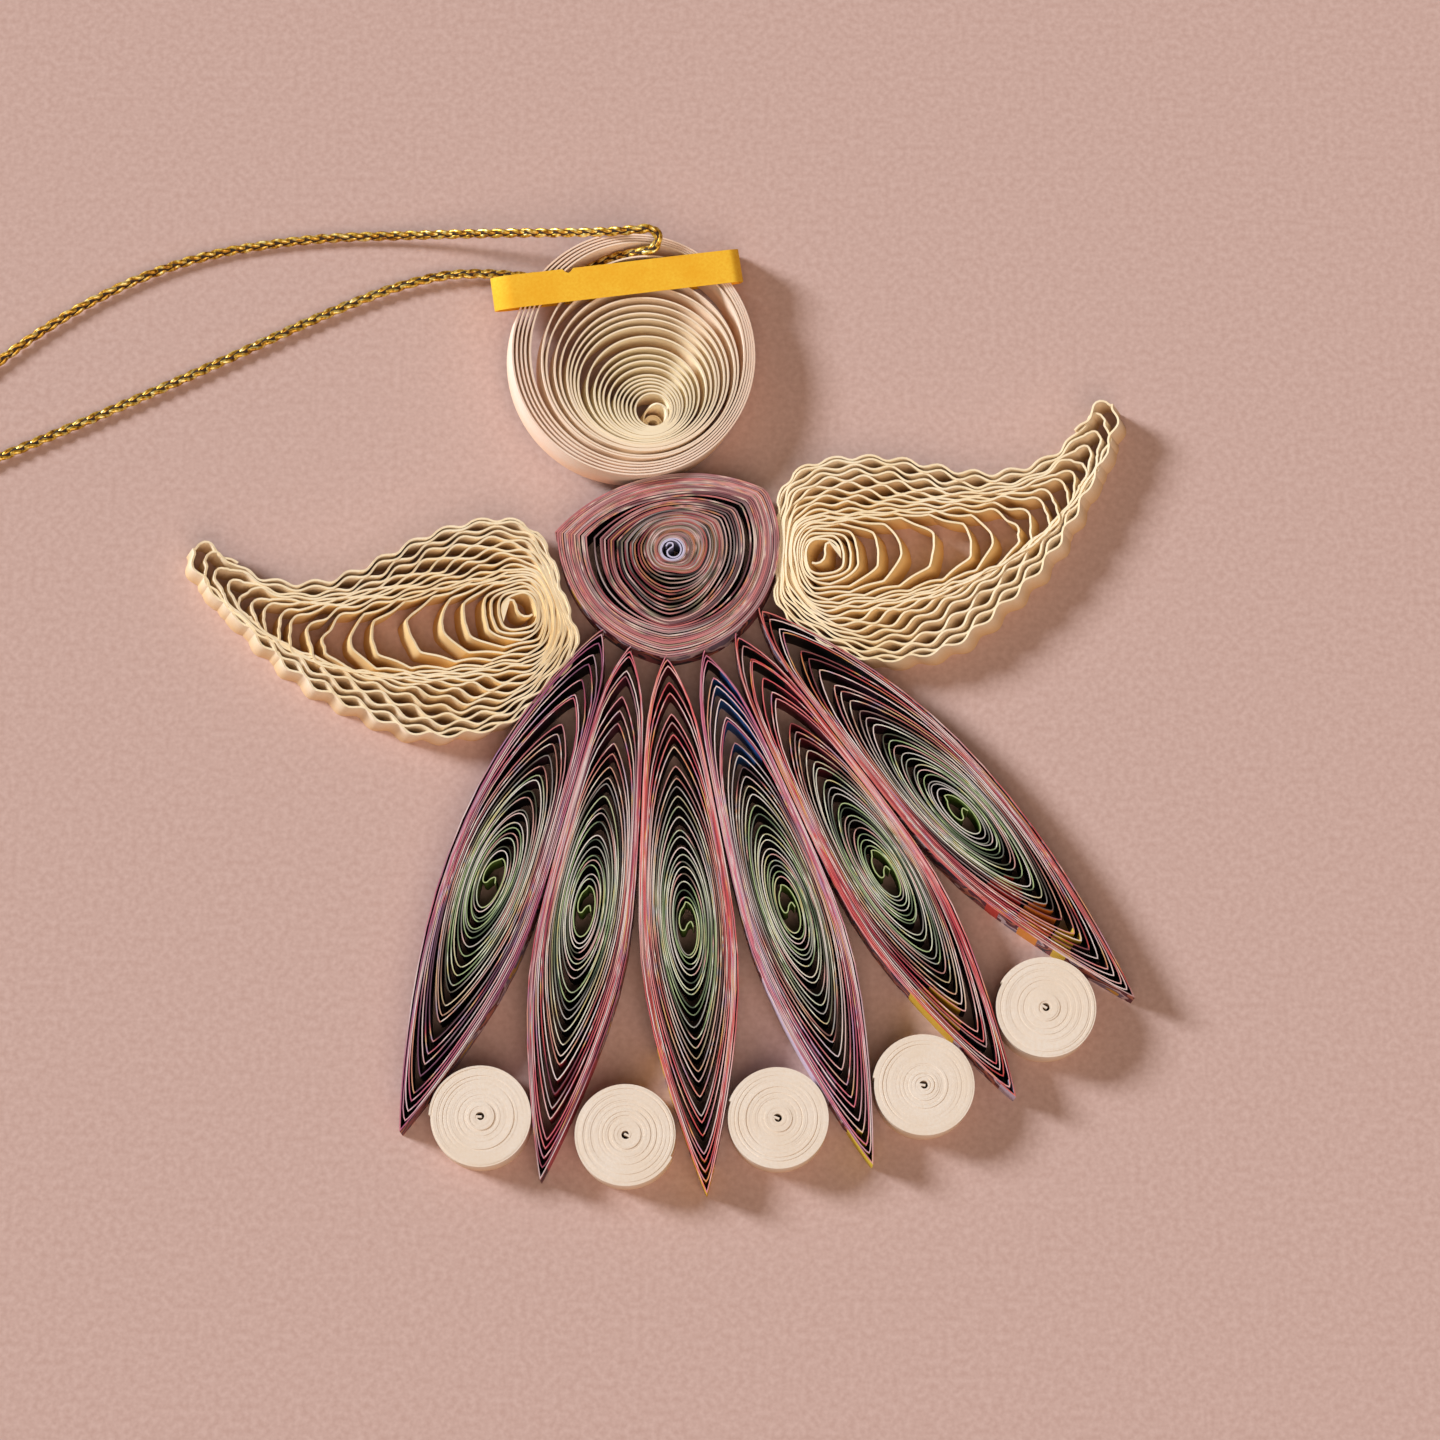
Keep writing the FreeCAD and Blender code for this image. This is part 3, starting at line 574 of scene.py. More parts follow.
def body_point(turn, degrees):
    """Inner turns are round and outer turns follow the shield."""
    left, top, right, right_side, foot, left_side = BODY_OUTLINE
    spokes = [bearing(point) for point in (right, top, left, left_side, foot, right_side)]
    shares = staged(BODY_STAGES, turn)
    degrees %= 360
    after = next((i for i, spoke in enumerate(spokes) if spoke > degrees), 0)
    before = (after - 1) % len(spokes)
    gap = (spokes[after] - spokes[before]) % 360
    f = smooth(((degrees - spokes[before]) % 360) / gap)
    shield = body_reach(degrees) * mix(shares[before], shares[after], f)
    rounded = mix(shares[before] * body_reach(spokes[before]),
                  shares[after] * body_reach(spokes[after]), f)
    follows = smooth((turn - BODY_ROUND_TURNS) / (BODY_SHIELD_TURNS - BODY_ROUND_TURNS))
    reach = mix(rounded, shield, follows) - BODY_STRIP / 2
    dx, dy = along(degrees)
    return dx * reach, dy * reach


def make_body():
    draw = random.Random(5)
    uneven = [draw.uniform(-BODY_UNEVEN, BODY_UNEVEN) for _ in range(BODY_TURNS + 2)]
    path = [catmull(BODY_EYE, i / BODY_EYE_STEPS) for i in range(BODY_EYE_STEPS)]
    outward = [0.0] * len(path)
    first = bearing(BODY_OUTLINE[0])
    for i in range(BODY_TURNS * BODY_SIDES + 1):
        turn = i / BODY_SIDES
        nudge = 0.0
        if BODY_UNEVEN_TURNS[0] < turn < BODY_UNEVEN_TURNS[1]:
            nudge = mix(uneven[int(turn)], uneven[int(turn) + 1], smooth(turn % 1))
        path.append(body_point(turn + nudge, first + 360 * turn))
        outward.append(turn / BODY_TURNS)
    face = print_face("printed_paper_side", 1.0, BODY_TURNS, (BODY_EYE_PATCH,))
    edge = print_edge("printed_paper_edge", EDGE_MOSS, EDGE_BODY, seed=1.0, layers=20.0,
                      paleness=0.4, start_colour="#CCC8E4", start_share=0.022,
                      page_colour="#D89294")
    body = strip("body_coil_paper", path, BODY_STRIP, STRIP_WIDTH, face, edge, outward, 11)
    place(body, 0, 0)
    finished(body, "print_paper", "body_coil")


make_body()

# Petals: marquise coils that fan out from a point in the body. Tops and lows are the shares of the
# way from the eye to the petal's two tips that each turn reaches, and shares are of its width.
FAN_CENTRE = (-1.4, 4.3)
PETAL_ANGLES = (-21.0, -9.0, 4.3, 17.6, 30.2, 42.8)
PETAL_LENGTH = 45.0
PETAL_HALF_WIDTH = 4.45
PETAL_WIDEST = 0.45
PETAL_EYES = (23.2, 22.6, 23.1, 22.9, 23.7, 24.4)
PETAL_ASIDE = (-0.9, -0.1, 0.0, 0.0, 0.3, 0.3)
PETAL_BELLIES = (5.0, 4.45, 4.45, 4.45, 4.45, 4.45)
PETAL_TURNS = 25
PETAL_OVAL_TURN = 1
PETAL_POINTED_TURN = 19
PETAL_STEPS = 22
PETAL_STRIP = 0.087
PETAL_UNEVEN = 0.3
PETAL_SWAY = 0.12
PETAL_SHARES = ((0, 0.17), (13, 0.57), (22, 0.98), (24, 1.1))
PETAL_TOPS = (
    (0, 0.085), (8, 0.28), (13, 0.46), (17, 0.63), (18, 0.72), (19, 0.74), (20, 0.79), (21, 0.88),
    (22, 0.895), (23, 0.96), (25, 1.0))
PETAL_LOWS = (
    (0, 0.085), (7, 0.235), (11, 0.385), (16, 0.58), (17, 0.64), (18, 0.71), (20, 0.79), (21, 0.85),
    (23, 0.92), (25, 1.0))
# The strip starts in a small S across the eye
PETAL_HOOK = ((0.15, 0.5), (-0.3, 0.35), (-0.1, 0.05), (0.35, -0.2), (0.3, -0.5), (-0.4, -0.62),
              (-1.2, -0.45), (-1.65, -0.12))
PETAL_HOOK_STEPS = 28
PETAL_EYE_RADIUS = 1.9
PETAL_EYE_GREEN = "#4E6A28"
PETAL_PAGES = ("#A8709A", "#C45C6E", "#F0685A", "#DC8CAA", "#E04E3A", "#BC5C44")
# Powers that shape a petal's upper and lower halves, then how close its turns pack and how softly
# they meet its outline and the line between two petals
OUTER_POWERS = (0.8, 0.92)
INNER_POWERS = (0.76, 0.78)
PETAL_PACKING = 1.05
LEAST_ROOM = 0.05
OUTLINE_POWER = 12
NEIGHBOUR_POWER = 8
PETAL_PATCHES = (
    ((-9.5, -18.0, 3.5, "#3A2230"),),
    ((-5.0, -14.0, 4.0, "#5A2A3C"), (-7.0, -48.0, 5.0, "#B04A58")),
    ((-2.0, -12.0, 5.0, "#5E1E28"), (-1.2, -43.5, 1.3, "#D9A82A"), (-0.3, -46.6, 1.3, "#D9A82A"),
     (0.6, -49.6, 1.3, "#D9A82A"), (1.9, -53.4, 2.4, "#E2B22C")),
    ((5.6, -14.5, 4.2, "#2B5A96"), (15.0, -51.5, 2.6, "#D9C23A"), (7.9, -38.0, 1.5, "#D8C8DC"),
     (9.3, -40.6, 1.5, "#D8C8DC"), (10.7, -43.1, 1.5, "#D8C8DC"), (12.0, -45.5, 1.5, "#D8C8DC")),
    ((10.5, -16.0, 4.5, "#5A1C26"), (21.2, -39.9, 2.6, "#D9B23A"), (28.8, -47.6, 3.0, "#B8A8BC")),
    ((14.0, -15.0, 4.0, "#3C2030"), (24.9, -27.4, 1.3, "#1A1618"), (27.4, -29.6, 1.6, "#C43C34"),
     (30.1, -31.8, 1.6, "#E8963C"), (32.5, -33.6, 1.3, "#E8C84A"), (33.6, -34.4, 0.8, "#3A2028")))


def petal_width(s, pointed, shoulder_power, tip_power):
    """The share of a petal's width at a share of its length, from an oval to a pointed leaf."""
    oval = 2 * math.sqrt(max(0.0, s * (1 - s)))
    if s < PETAL_WIDEST:
        leaf = math.sin(math.pi / 2 * s / PETAL_WIDEST) ** shoulder_power
    else:
        past_widest = math.pi / 2 * (s - PETAL_WIDEST) / (1 - PETAL_WIDEST)
        leaf = max(0.0, math.cos(past_widest)) ** tip_power
    return mix(oval, leaf, pointed)


def kept_within(width, room, power):
    """The lesser of a width and its room, eased where they are alike."""
    return width * room / (width ** power + room ** power) ** (1 / power)


def petal_path(index, root):
    """A petal's strip in its own directions, down its length and across."""
    draw = random.Random(20 + index)
    angle = PETAL_ANGLES[index]
    above = (PETAL_ANGLES[index + 1] - angle) / 2 if index < len(PETAL_ANGLES) - 1 else None
    below = (angle - PETAL_ANGLES[index - 1]) / 2 if index else None
    eye = root + PETAL_EYES[index]
    halves = range(2 * PETAL_TURNS + 4)
    nudges = [draw.uniform(-PETAL_UNEVEN, PETAL_UNEVEN) for _ in halves]
    asides = [draw.uniform(-PETAL_SWAY, PETAL_SWAY) for _ in halves]

    def tip(turn, whole, which, stages):
        inner = turn + (nudges[2 * turn + which] if 0 < turn < PETAL_TURNS - 1 else 0)
        return whole * staged(stages, inner)[0]

    points = []
    outward = []
    for turn in range(PETAL_TURNS):
        for side, half_step in ((1, above), (-1, below)):
            upper = turn if side > 0 else turn + 1
            top = eye - tip(upper, PETAL_EYES[index], 0, PETAL_TOPS)
            low = eye + tip(turn + 1, PETAL_LENGTH - PETAL_EYES[index], 1, PETAL_LOWS)
            last = turn == PETAL_TURNS - 1
            share = 1.0 if last else staged(PETAL_SHARES, turn + (0.5 if side > 0 else 1))[0]
            pointed = smooth((turn - PETAL_OVAL_TURN) / (PETAL_POINTED_TURN - PETAL_OVAL_TURN))
            powers = OUTER_POWERS if last else INNER_POWERS
            whole = (PETAL_HALF_WIDTH if side > 0 else PETAL_BELLIES[index]) - PETAL_STRIP / 2
            packed = (PETAL_TURNS - 0.5 - turn - (0.5 if side < 0 else 0)) * PETAL_STRIP
            for j in range(PETAL_STEPS):
                s = (1 - math.cos(math.pi * j / PETAL_STEPS)) / 2
                if side < 0:
                    s = 1 - s
                r = mix(top, low, s)
                width = share * whole * petal_width(s, pointed, *powers)
                if not last and 0 < s < 1:
                    outer = whole * petal_width((r - root) / PETAL_LENGTH, 1.0, *OUTER_POWERS)
                    room = max(LEAST_ROOM, outer - PETAL_PACKING * packed)
                    width = kept_within(width, room, OUTLINE_POWER)
                if half_step is not None and 0 < s < 1:
                    c, h = along(half_step)
                    room = max(LEAST_ROOM, (r * h - PETAL_STRIP / 2) / c - packed)
                    width = kept_within(width, room, NEIGHBOUR_POWER)
                sway = mix(asides[2 * upper], asides[2 * turn + 1], s) + PETAL_ASIDE[index]
                points.append((r, side * width + sway * (1 - share)))
                outward.append((turn + (0 if side > 0 else 0.5)) / PETAL_TURNS)
    points.append((root, 0.0))
    outward.append(1.0)
    hook = [catmull(PETAL_HOOK, i / PETAL_HOOK_STEPS) for i in range(PETAL_HOOK_STEPS)]
    hook = [(eye + r, v + PETAL_ASIDE[index]) for r, v in hook]
    return hook + points, [0.0] * len(hook) + outward


def make_petal(index):
    name = "petal_%d" % (index + 1)
    x, y = FAN_CENTRE
    c, s = along(PETAL_ANGLES[index])
    root = (y - frame_box(name)[0].y) / c - PETAL_LENGTH

    def in_fan(r, v):
        return x + r * s + v * c, y - r * c + v * s

    path, outward = petal_path(index, root)
    eye = in_fan(root + PETAL_EYES[index], PETAL_ASIDE[index])
    patches = PETAL_PATCHES[index] + ((*eye, PETAL_EYE_RADIUS, PETAL_EYE_GREEN),)
    face = print_face("printed_paper_side_%d" % (index + 1), 3.7 * index, PETAL_TURNS, patches)
    edge = print_edge("printed_paper_edge_%d" % (index + 1), EDGE_GREEN, EDGE_PINK,
                      seed=5.3 * index + 2, layers=11.0, paleness=0.75, start_colour="#B4C48A",
                      start_share=0.004, page_colour=PETAL_PAGES[index])
    petal = strip(name + "_paper", [in_fan(r, v) for r, v in path], PETAL_STRIP, STRIP_WIDTH,
                  face, edge, outward, 30 + index)
    place(petal, 0, 0)
    finished(petal, "print_paper", name)


for number in range(len(PETAL_ANGLES)):
    make_petal(number)

# Hem discs: tight rolls of cream strip with their middles pushed up a little. The strip's start
# lies straight across the hole.
DISC_TURNS = 24
DISC_SIDES = 60
DISC_STRIP = 0.178
DISC_HOLE = 0.34
DISC_START = (-0.12, 0.0, 0.12, 0.22)
DISC_NUB_TURNS = 4.6
DISC_NUB_HEIGHT = 0.035
DISC_NUB_GAP = 0.06


def make_disc(number):
    name = "hem_disc_%d" % number
    low, high = frame_box(name)
    widest = (high.x - low.x) / 2 - DISC_STRIP / 2
    start = random.Random(60 + number).uniform(0, 360)
    dx, dy = along(start)
    path = [(share * dx, share * dy) for share in DISC_START]
    outward = [0.0] * len(path)
    for i in range(DISC_TURNS * DISC_SIDES + 1):
        turn = i / DISC_SIDES
        share = (turn + DISC_NUB_GAP * smooth(turn - DISC_NUB_TURNS)) / (DISC_TURNS + DISC_NUB_GAP)
        reach = mix(DISC_HOLE, widest, share)
        dx, dy = along(start + 360 * turn)
        path.append((reach * dx, reach * dy))
        outward.append(turn / DISC_TURNS)

    def pushed_up(way, share):
        return DISC_NUB_HEIGHT * (1 - smooth(share * DISC_TURNS - DISC_NUB_TURNS))

    disc = strip(name + "_paper", path, DISC_STRIP, STRIP_WIDTH, cream, cream, outward, 70 + number,
                 uneven=0.022, top=pushed_up)
    middle = (low + high) / 2
    place(disc, middle.x, middle.y)
    finished(disc, "cream_paper", name)


for number in range(1, 6):
    make_disc(number)

# Wings: a crimped strip wound from a round eye into ovals and then into a leaf with a bent midrib.
# The leaf's outline starts at its tip. Each stage is a turn and how far it reaches. The strip's
# start is an S across the eye.
WING_LEAF = (
    (28.2, -0.5), (27.7, 0.4), (26.4, 1.15), (21.6, 2.4), (15.9, 4.6), (9.5, 8.1), (3.5, 8.6),
    (-0.7, 6.4), (-3.4, 2.3), (-5.6, -1.8), (-4.7, -5.1), (-2.6, -8.4), (0.3, -10.7), (5.5, -10.4),
    (12.2, -6.7), (20.3, -3.0), (26.3, -1.95), (27.7, -1.4), (28.2, -0.5))
WING_ABOVE = 8.6
WING_BELOW = 10.7
WING_ROOT = 5.6
WING_WIDTHS = ((0, 1.4, 1.4), (2, 1.95, 2.1), (4, 2.6, 3.0), (6, 3.1, 3.9), (9, 3.9, 5.3),
               (18, 8.45, 10.4), (19, 8.6, 10.7))
WING_ROOTS = ((0, 1.4), (4, 2.1), (9, 3.1), (18, 5.35), (19, 5.6))
WING_TIPS = (0.05, 0.062, 0.084, 0.104, 0.167, 0.233, 0.334, 0.445, 0.504, 0.582, 0.624, 0.68, 0.71,
             0.755, 0.785, 0.827, 0.862, 0.91, 0.958, 1.0, 1.0)
WING_START = ((-1.15, -0.1), (-0.9, -0.32), (-0.5, -0.42), (-0.1, -0.3), (0.2, 0.0), (0.4, 0.4),
              (0.7, 0.75), (1.05, 0.75))
WING_SAG = 4.9
WING_SAG_LENGTH = 28.2
WING_SAG_POWER = 1.3
WING_OVAL_TURN = -24.0
WING_OVAL_POWER = 0.8
WING_OVAL_TURNS = 5
WING_LEAF_TURNS = 16.5
WING_TURNS = 19
WING_CLOSED = 0.14
WING_STEPS = 400
WING_STRIP = 0.17
WING_LEAN = 18.0
CRIMP_PITCH = 3.0
CRIMP_STEP = 0.2
CRIMP_HALF_HEIGHT = 0.27
CRIMP_INNER_TURNS = 9
CRIMP_INNER_HEIGHTS = (0.05, 0.2)
CRIMP_LEAST = 0.02
CRIMP_AT_FOLD = 0.3
CRIMP_FOLD_REACH = 0.04


def wing_point(turn):
    """A point of the wing's strip before it is crimped."""
    whole = int(turn)
    f = turn - whole
    length = WING_LEAF[0][0]
    reach = length * mix(WING_TIPS[whole], WING_TIPS[whole + 1], f)
    root = staged(WING_ROOTS, turn)[0]
    above, below = staged(WING_WIDTHS, turn)
    x, w = catmull(WING_LEAF, f)
    leaf_x = x / length * reach if x > 0 else x / WING_ROOT * root
    leaf_y = w * (above / WING_ABOVE if w > 0 else below / WING_BELOW)
    if leaf_x > 0:
        down = min(1, leaf_x / WING_SAG_LENGTH) ** WING_SAG_POWER
        leaf_y -= WING_SAG * math.sin(math.pi * down)
    dx, dy = (math.copysign(abs(part) ** WING_OVAL_POWER, part) for part in along(360 * f))
    oval_x, oval_y = dx * (reach if dx > 0 else root), dy * (above if dy > 0 else below)
    c, s = along(WING_OVAL_TURN)
    leafy = smooth((turn - WING_OVAL_TURNS) / (WING_LEAF_TURNS - WING_OVAL_TURNS))
    return mix(oval_x * c - oval_y * s, leaf_x, leafy), mix(oval_x * s + oval_y * c, leaf_y, leafy)


def wing_path():
    """The wing's strip with its crimps. The inner turns are stretched to corners and the outer
    turns wave as far as the turns beside them leave room."""
    track = [i / WING_STEPS for i in range(round(WING_STEPS * (WING_TURNS + WING_CLOSED)) + 1)]
    points = [wing_point(turn) for turn in track]
    around = WING_STEPS // 10
    path = list(WING_START)
    outward = [0.0] * len(path)
    walked = 0.0
    since = 1.0
    for i in range(1, len(points)):
        (x1, y1), (x2, y2) = points[i - 1], points[i]
        length = math.hypot(x2 - x1, y2 - y1)
        walked += length
        since += length
        if since < CRIMP_STEP or length < 1e-9:
            continue
        since = 0.0
        out = ((y2 - y1) / length, -(x2 - x1) / length)
        turn = track[i]
        if turn < CRIMP_INNER_TURNS:
            wave = 1 - 2 * abs(math.sin(math.pi * walked / CRIMP_PITCH))
            most = mix(*CRIMP_INNER_HEIGHTS, turn / CRIMP_INNER_TURNS)
        else:
            wave = math.sin(2 * math.pi * walked / CRIMP_PITCH)
            most = CRIMP_HALF_HEIGHT
        other = i + WING_STEPS if wave < 0 else i - WING_STEPS
        room = math.inf
        if 0 <= other < len(points):
            nearby = points[max(0, other - around):other + around + 1:4]
            room = min(math.dist(point, (x2, y2)) for point in nearby) - WING_STRIP
        from_fold = min(turn % 1, 1 - turn % 1)
        size = min(most, max(CRIMP_LEAST, room / 2 + CRIMP_LEAST))
        size *= min(1.0, CRIMP_AT_FOLD + from_fold / CRIMP_FOLD_REACH)
        path.append((x2 + out[0] * wave * size, y2 + out[1] * wave * size))
        outward.append(min(1.0, turn / WING_TURNS))
    return path, outward


def make_wing(name, side, angle, eye):
    path, outward = wing_path()
    c, s = along(angle)
    placed = [(eye[0] + side * (x * c - y * s), eye[1] + x * s + y * c) for x, y in path]
    lean = STRIP_WIDTH * math.sin(math.radians(WING_LEAN))
    height = STRIP_WIDTH * math.cos(math.radians(WING_LEAN))
    wing = strip(name + "_paper", placed, WING_STRIP, height, wing_face, wing_edge, outward,
                 80 + side, (lean * side, 0.0), uneven=0.08)
    place(wing, 0, 0)
    finished(wing, "wing_paper", name)


make_wing("right_wing", 1, 29.4, (12.75, -0.5))
make_wing("left_wing", -1, 12.1, (-12.8, -5.3))

# Halo: a flat loop of yellow strip over and under the head, a little twisted, with a torn nick.
# The nick has a middle, half a width and a depth, and the two ends meet under the head.
HALO_ANGLE = 8.5
HALO_LEFT = 12.2
HALO_RIGHT = 9.3
HALO_UP = 6.8
HALO_BENDS = (1.55, 0.9)
HALO_BEND_STEPS = 12
HALO_TOP_STEPS = 80
HALO_ENDS = (-1.0, -1.3)
HALO_TWIST = 0.3
HALO_NICK = (-5.6, 0.45, 0.4)


def make_halo():
    """The loop is a chain in a level plane first, so that the strip stands on its edge, and is
    then turned so that the strip lies along the head."""
    room = STRIP_WIDTH * math.cos(math.radians(HEAD_LEAN)) + 2 * HALO_CLEARANCE
    half = HALO_STRIP / 2
    low, high = half, HALO_STRIP + room + half
    left, right = half - HALO_LEFT, HALO_RIGHT - half
    a, b = HALO_BENDS
    path = [(HALO_ENDS[0], low)]
    for x, y, radius, first in ((right - b, low + b, b, -90), (right - b, high - b, b, 0),
                                (left + a, high - a, a, 90), (left + a, low + a, a, 180)):
        bend = [along(first + 90 / HALO_BEND_STEPS * i) for i in range(HALO_BEND_STEPS + 1)]
        path += [(x + radius * dx, y + radius * dy) for dx, dy in bend]
        if first == 0:
            gap = (right - b) - (left + a)
            path += [(right - b - gap * i / HALO_TOP_STEPS, high) for i in range(1, HALO_TOP_STEPS)]
    path.append((HALO_ENDS[1], low))
    tops = {}
    walked = 0.0
    for before, point in zip(path, path[1:]):
        walked += math.dist(before, point)
        if point[1] == high:
            tops[round(walked, 3)] = point[0]

    def nicked(way, share):
        x = tops.get(round(way, 3))
        middle, half_width, depth = HALO_NICK
        if x is None or abs(x - middle) > half_width:
            return 0.0
        return -depth * (1 - abs(x - middle) / half_width) ** 0.5

    halo = strip("halo_paper", path, HALO_STRIP, STRIP_WIDTH, yellow, yellow, [0.5] * len(path), 90,
                 uneven=0.02, top=nicked)
    halo.data.transform(Matrix.Translation((0, 0, -STRIP_WIDTH / 2 * MM)))
    halo.data.transform(Matrix.Rotation(math.radians(90), 4, "X"))
    halo.data.transform(Matrix.Scale(-1, 4, (0, 1, 0)))
    halo.data.flip_normals()
    for vertex in halo.data.vertices:
        vertex.co.y += HALO_TWIST * (high * MM - vertex.co.z)
    halo.data.transform(Matrix.Rotation(math.radians(HALO_ANGLE), 4, "Z"))
    place(halo, HEAD_MIDDLE[0], HEAD_MIDDLE[1] + HALO_UP)
    tilt_head(halo)
    finished(halo, "halo_paper", "halo")


make_halo()

# Hanging cord: a plait along its route, from the knot to the head and back
CORD_DIAMETER = 1.0
CORD_ROUTE = (
    (-80.0, 1.4, 1.2), (-75.6, 1.4, 1.2), (-68.2, 4.3, 0.6), (-56.5, 9.4, 0.5), (-42.5, 15.8, 0.5),
    (-28.0, 23.0, 0.5), (-20.8, 25.4, 0.7), (-16.2, 25.6, 0.8), (-12.2, 25.2, 0.65),
    (-8.6, 25.5, 0.65), (-6.5, 26.2, 1.4), (-5.0, 26.45, 2.4), (-3.4, 26.4, 3.4), (-1.8, 26.4, 4.2),
    (-1.25, 26.9, 4.45), (-1.25, 27.6, 4.75), (-1.8, 28.1, 5.0), (-3.3, 27.95, 4.9),
    (-5.8, 27.95, 4.4), (-9.8, 28.2, 3.6), (-15.2, 28.65, 2.4), (-22.0, 29.1, 0.8),
    (-32.5, 28.9, 0.5), (-43.5, 26.8, 0.5), (-54.3, 21.0, 0.5), (-64.5, 12.0, 0.5),
    (-71.4, 5.3, 0.7), (-75.8, 2.5, 1.2), (-80.0, 2.5, 1.2))
PLAIT_PITCH = 3.9
PLAIT_STEPS = 26
PLAIT_SWAY = (0.23, 0.11)
PLAIT_STRAND = (0.15, 0.22)
PLAIT_CORE = (0.2, 0.28)
TUBE_SIDES = 6


def cord_line():
    """Points along the cord's smooth line, in metres."""
    curve = bpy.data.curves.new("cord_route", "CURVE")
    curve.dimensions = "3D"
    curve.resolution_u = 24
    spline = curve.splines.new("NURBS")
    spline.points.add(len(CORD_ROUTE) - 1)
    for point, route in zip(spline.points, CORD_ROUTE):
        point.co = (*to_metres(route), 1)
    spline.order_u = 3
    spline.use_endpoint_u = True
    route = linked("cord_route", curve)
    bpy.context.view_layer.update()
    mesh = bpy.data.meshes.new_from_object(route)
    points = [vertex.co.copy() for vertex in mesh.vertices]
    bpy.data.meshes.remove(mesh)
    bpy.data.objects.remove(route)
    bpy.data.curves.remove(curve)
    return points


def evenly(points, gap):
    """Points an even gap apart along a line."""
    walked = [0.0]
    for a, b in zip(points, points[1:]):
        walked.append(walked[-1] + (b - a).length)
    count = round(walked[-1] / gap)
    found = []
    i = 0
    for k in range(count + 1):
        distance = walked[-1] * k / count
        while i < len(points) - 2 and walked[i + 1] < distance:
            i += 1
        share = (distance - walked[i]) / (walked[i + 1] - walked[i])
        found.append(points[i].lerp(points[i + 1], share))
    return found


def ahead_at(points, i):
    """The direction of a line at one of its points."""
    return (points[min(i + 1, len(points) - 1)] - points[max(i - 1, 0)]).normalized()


def carried(points):
    """A pair of square directions at each point, carried along the line without twist."""
    frames = []
    side = Vector((0, 0, 1))
    for i in range(len(points)):
        ahead = ahead_at(points, i)
        side = (side - ahead * side.dot(ahead)).normalized()
        frames.append((side, ahead.cross(side)))
    return frames


def tube(vertices, faces, points, frames, sizes):
    """Adds a closed tube with flat oval sections to the lists. The sizes are its half thickness
    and half width, and its section follows the pair of directions at each point."""
    start = len(vertices)
    for point, (out, across) in zip(points, frames):
        for k in range(TUBE_SIDES):
            dx, dy = along(360 * k / TUBE_SIDES)
            vertices.append(point + out * (sizes[0] * dx) + across * (sizes[1] * dy))
    for i in range(len(points) - 1):
        for k in range(TUBE_SIDES):
            a = start + i * TUBE_SIDES + k
            b = start + i * TUBE_SIDES + (k + 1) % TUBE_SIDES
            faces.append((a, b, b + TUBE_SIDES, a + TUBE_SIDES))
    faces.append(tuple(start + k for k in reversed(range(TUBE_SIDES))))
    faces.append(tuple(start + (len(points) - 1) * TUBE_SIDES + k for k in range(TUBE_SIDES)))


def plait(name, line, gold, core):
    """Three flat strands that sway across each other in turn, round a dark core thread."""
    points = evenly(line, PLAIT_PITCH * MM / PLAIT_STEPS)
    frames = carried(points)
    vertices = []
    faces = []
    for phase in (0, 120, 240):
        strand = []
        for i, (point, (up, aside)) in enumerate(zip(points, frames)):
            sway = along(phase + 360 * i / PLAIT_STEPS)[1] * PLAIT_SWAY[0] * MM
            lift = along(2 * (phase + 360 * i / PLAIT_STEPS))[1] * PLAIT_SWAY[1] * MM
            strand.append(point + aside * sway + up * lift)
        squares = []
        for i, (up, aside) in enumerate(frames):
            ahead = ahead_at(strand, i)
            upright = (up - ahead * up.dot(ahead)).normalized()
            squares.append((upright, ahead.cross(upright)))
        tube(vertices, faces, strand, squares, [size * MM for size in PLAIT_STRAND])
    gold_faces = len(faces)
    tube(vertices, faces, points, frames, [size * MM for size in PLAIT_CORE])
    mesh = bpy.data.meshes.new(name)
    mesh.from_pydata(vertices, [], faces)
    mesh.materials.append(gold)
    mesh.materials.append(core)
    for face in mesh.polygons:
        face.material_index = 0 if face.index < gold_faces else 1
        face.use_smooth = True
    return linked(name, mesh)


def fibrous(name, size, stops, roughness, metallic=0.0):
    """A material whose colour changes over fibres of a size in millimetres."""
    material, shader = new_material(name)
    spot = add(material, "ShaderNodeTexCoord").outputs["Object"]
    fibres = add(material, "ShaderNodeTexNoise",
                 {"Vector": spot, "Scale": 1 / (size * MM), "Detail": 2.0}).outputs["Fac"]
    tint = add(material, "ShaderNodeValToRGB", {"Fac": fibres}, stops).outputs["Color"]
    return coat(material, shader, tint, roughness, metallic=metallic)


# Metallised film on thread: it gives the eye small bright gold spots between brown ones; the palest
# spots are painted glints
gold = fibrous("metallised_gold_film", 0.35,
               ((0.3, "#7A4C10"), (0.4, "#C08A26"), (0.52, "#E8BE44"), (0.66, "#FFF0A0")),
               roughness=0.32, metallic=0.6)
# Spun brown thread: it gives the eye dark gaps between the gold strands
core = fibrous("brown_core_thread", 0.2, ((0.3, "#1E1208"), (0.7, "#4A2E14")), roughness=0.8)
line = cord_line()
hanging_cord = plait("hanging_cord_plait", line, gold, core)
finished(hanging_cord, "gold_braid", "hanging_cord")

# Knot: the doubled cord wound round itself, and its two cut ends
KNOT_TURNS = 2.6
KNOT_STEPS = 139
KNOT_INSET = 0.5
KNOT_DEPTH = 1.8
TAIL_ANGLE = 14
TAIL_LENGTH = 4.0
TAIL_STEPS = 40
TAIL_DROP_STEPS = 25
TAIL_APART = 0.5
TAIL_ROOT = 0.3
TAIL_END = 2.6
TAIL_HEIGHTS = (1.2, 0.5)


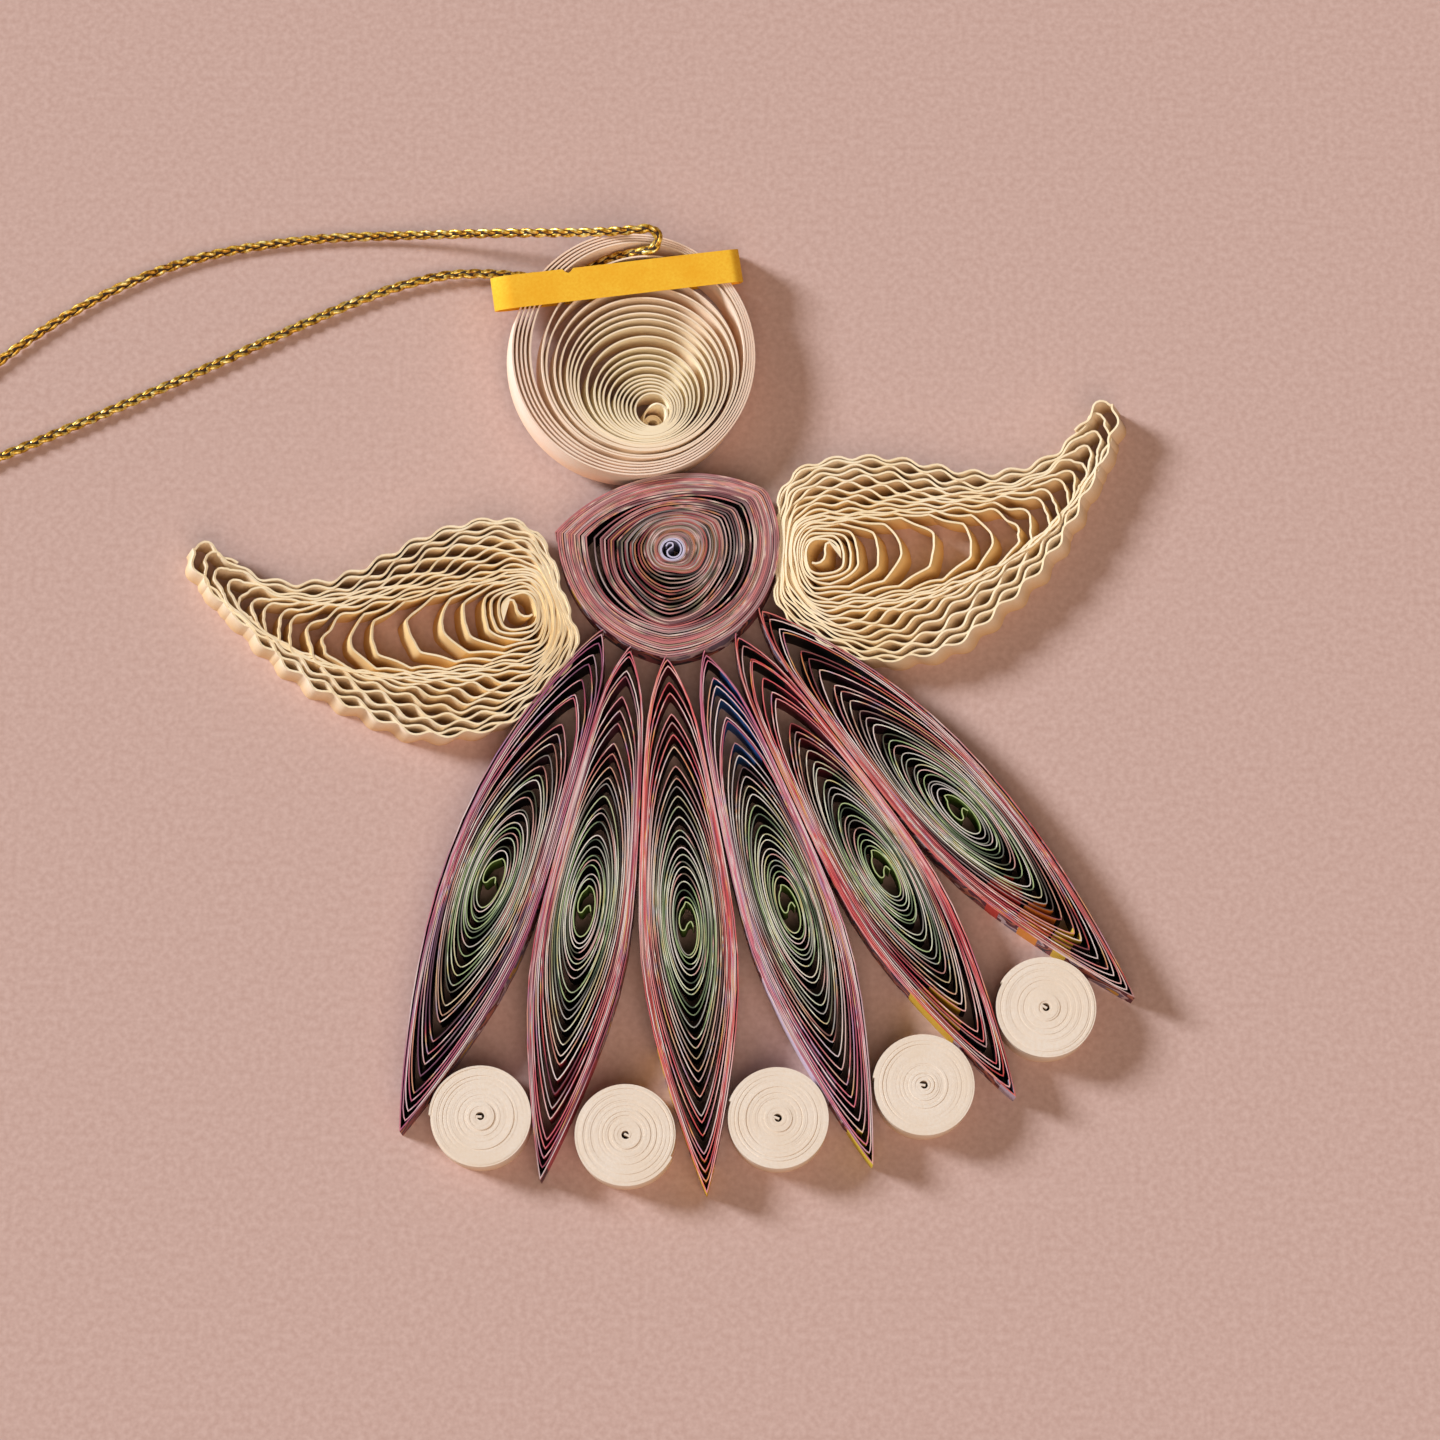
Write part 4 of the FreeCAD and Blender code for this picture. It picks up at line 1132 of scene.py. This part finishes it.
def knot_tail(start, middle_y, side):
    """The line of one cut end, which settles on the floor."""
    dx, dy = along(180 + side * TAIL_ANGLE)
    across = middle_y - side * TAIL_APART
    root = (start - TAIL_ROOT, across)
    end = (start - TAIL_END + TAIL_LENGTH * dx, across + TAIL_LENGTH * dy)
    points = []
    for i in range(TAIL_STEPS + 1):
        x = mix(root[0], end[0], i / TAIL_STEPS)
        y = mix(root[1], end[1], smooth(i / TAIL_STEPS))
        points.append(Vector(to_metres((x, y, mix(*TAIL_HEIGHTS, smooth(i / TAIL_DROP_STEPS))))))
    return points


def make_knot():
    low, high = frame_box("cord_knot")
    radius = (high.z - low.z) / 2 - CORD_DIAMETER / 2
    start, middle_y = high.x, (low.y + high.y) / 2
    points = []
    for i in range(KNOT_STEPS + 1):
        share = i / KNOT_STEPS
        dx, dy = along(360 * KNOT_TURNS * share)
        points.append(Vector(to_metres((start - KNOT_INSET - KNOT_DEPTH * share,
                                        middle_y + radius * dx, high.z / 2 + radius * dy))))
    wraps = plait("knot_wraps", points, gold, core)
    tails = [plait("knot_tail", knot_tail(start, middle_y, side), gold, core) for side in (-1, 1)]
    choose(wraps)
    for tail in tails:
        tail.select_set(True)
    bpy.ops.object.join()
    wraps.name = "cord_knot_plait"
    return finished(wraps, "gold_braid", "cord_knot")


knot = make_knot()

# Floor, of matt painted board: it gives the eye a plain pale field with a barely seen grain
bpy.ops.mesh.primitive_plane_add(size=FLOOR_SIZE * MM)
floor = bpy.context.object
floor.name = "floor"
floor.data.materials.append(
    fibrous("pale_matt_board", 0.5, ((0.3, "#C4A59B"), (0.7, "#D1B5AC")), roughness=0.9))


def sun(name, elevation, bearing, strength, angle, tint):
    bpy.ops.object.light_add(type="SUN")
    light = bpy.context.object
    light.name = name
    light.data.energy = strength
    light.data.color = colour(tint)[:3]
    light.data.angle = math.radians(angle)
    across, up = along(bearing)
    level, rise = along(elevation)
    towards = Vector((across * level, up * level, rise))
    light.rotation_euler = towards.to_track_quat("Z", "Y").to_euler()


# Light
sun("key_light", KEY_ELEVATION, KEY_BEARING, KEY_STRENGTH, KEY_ANGLE, KEY_TINT)
sun("fill_light", FILL_ELEVATION, FILL_BEARING, FILL_STRENGTH, FILL_ANGLE, WARM_TINT)

world = bpy.data.worlds.new("soft_studio")
bpy.context.scene.world = world
world.use_nodes = True
world.node_tree.nodes["Background"].inputs["Color"].default_value = colour(WARM_TINT)
world.node_tree.nodes["Background"].inputs["Strength"].default_value = WORLD_STRENGTH
bpy.context.scene.view_settings.view_transform = "Standard"
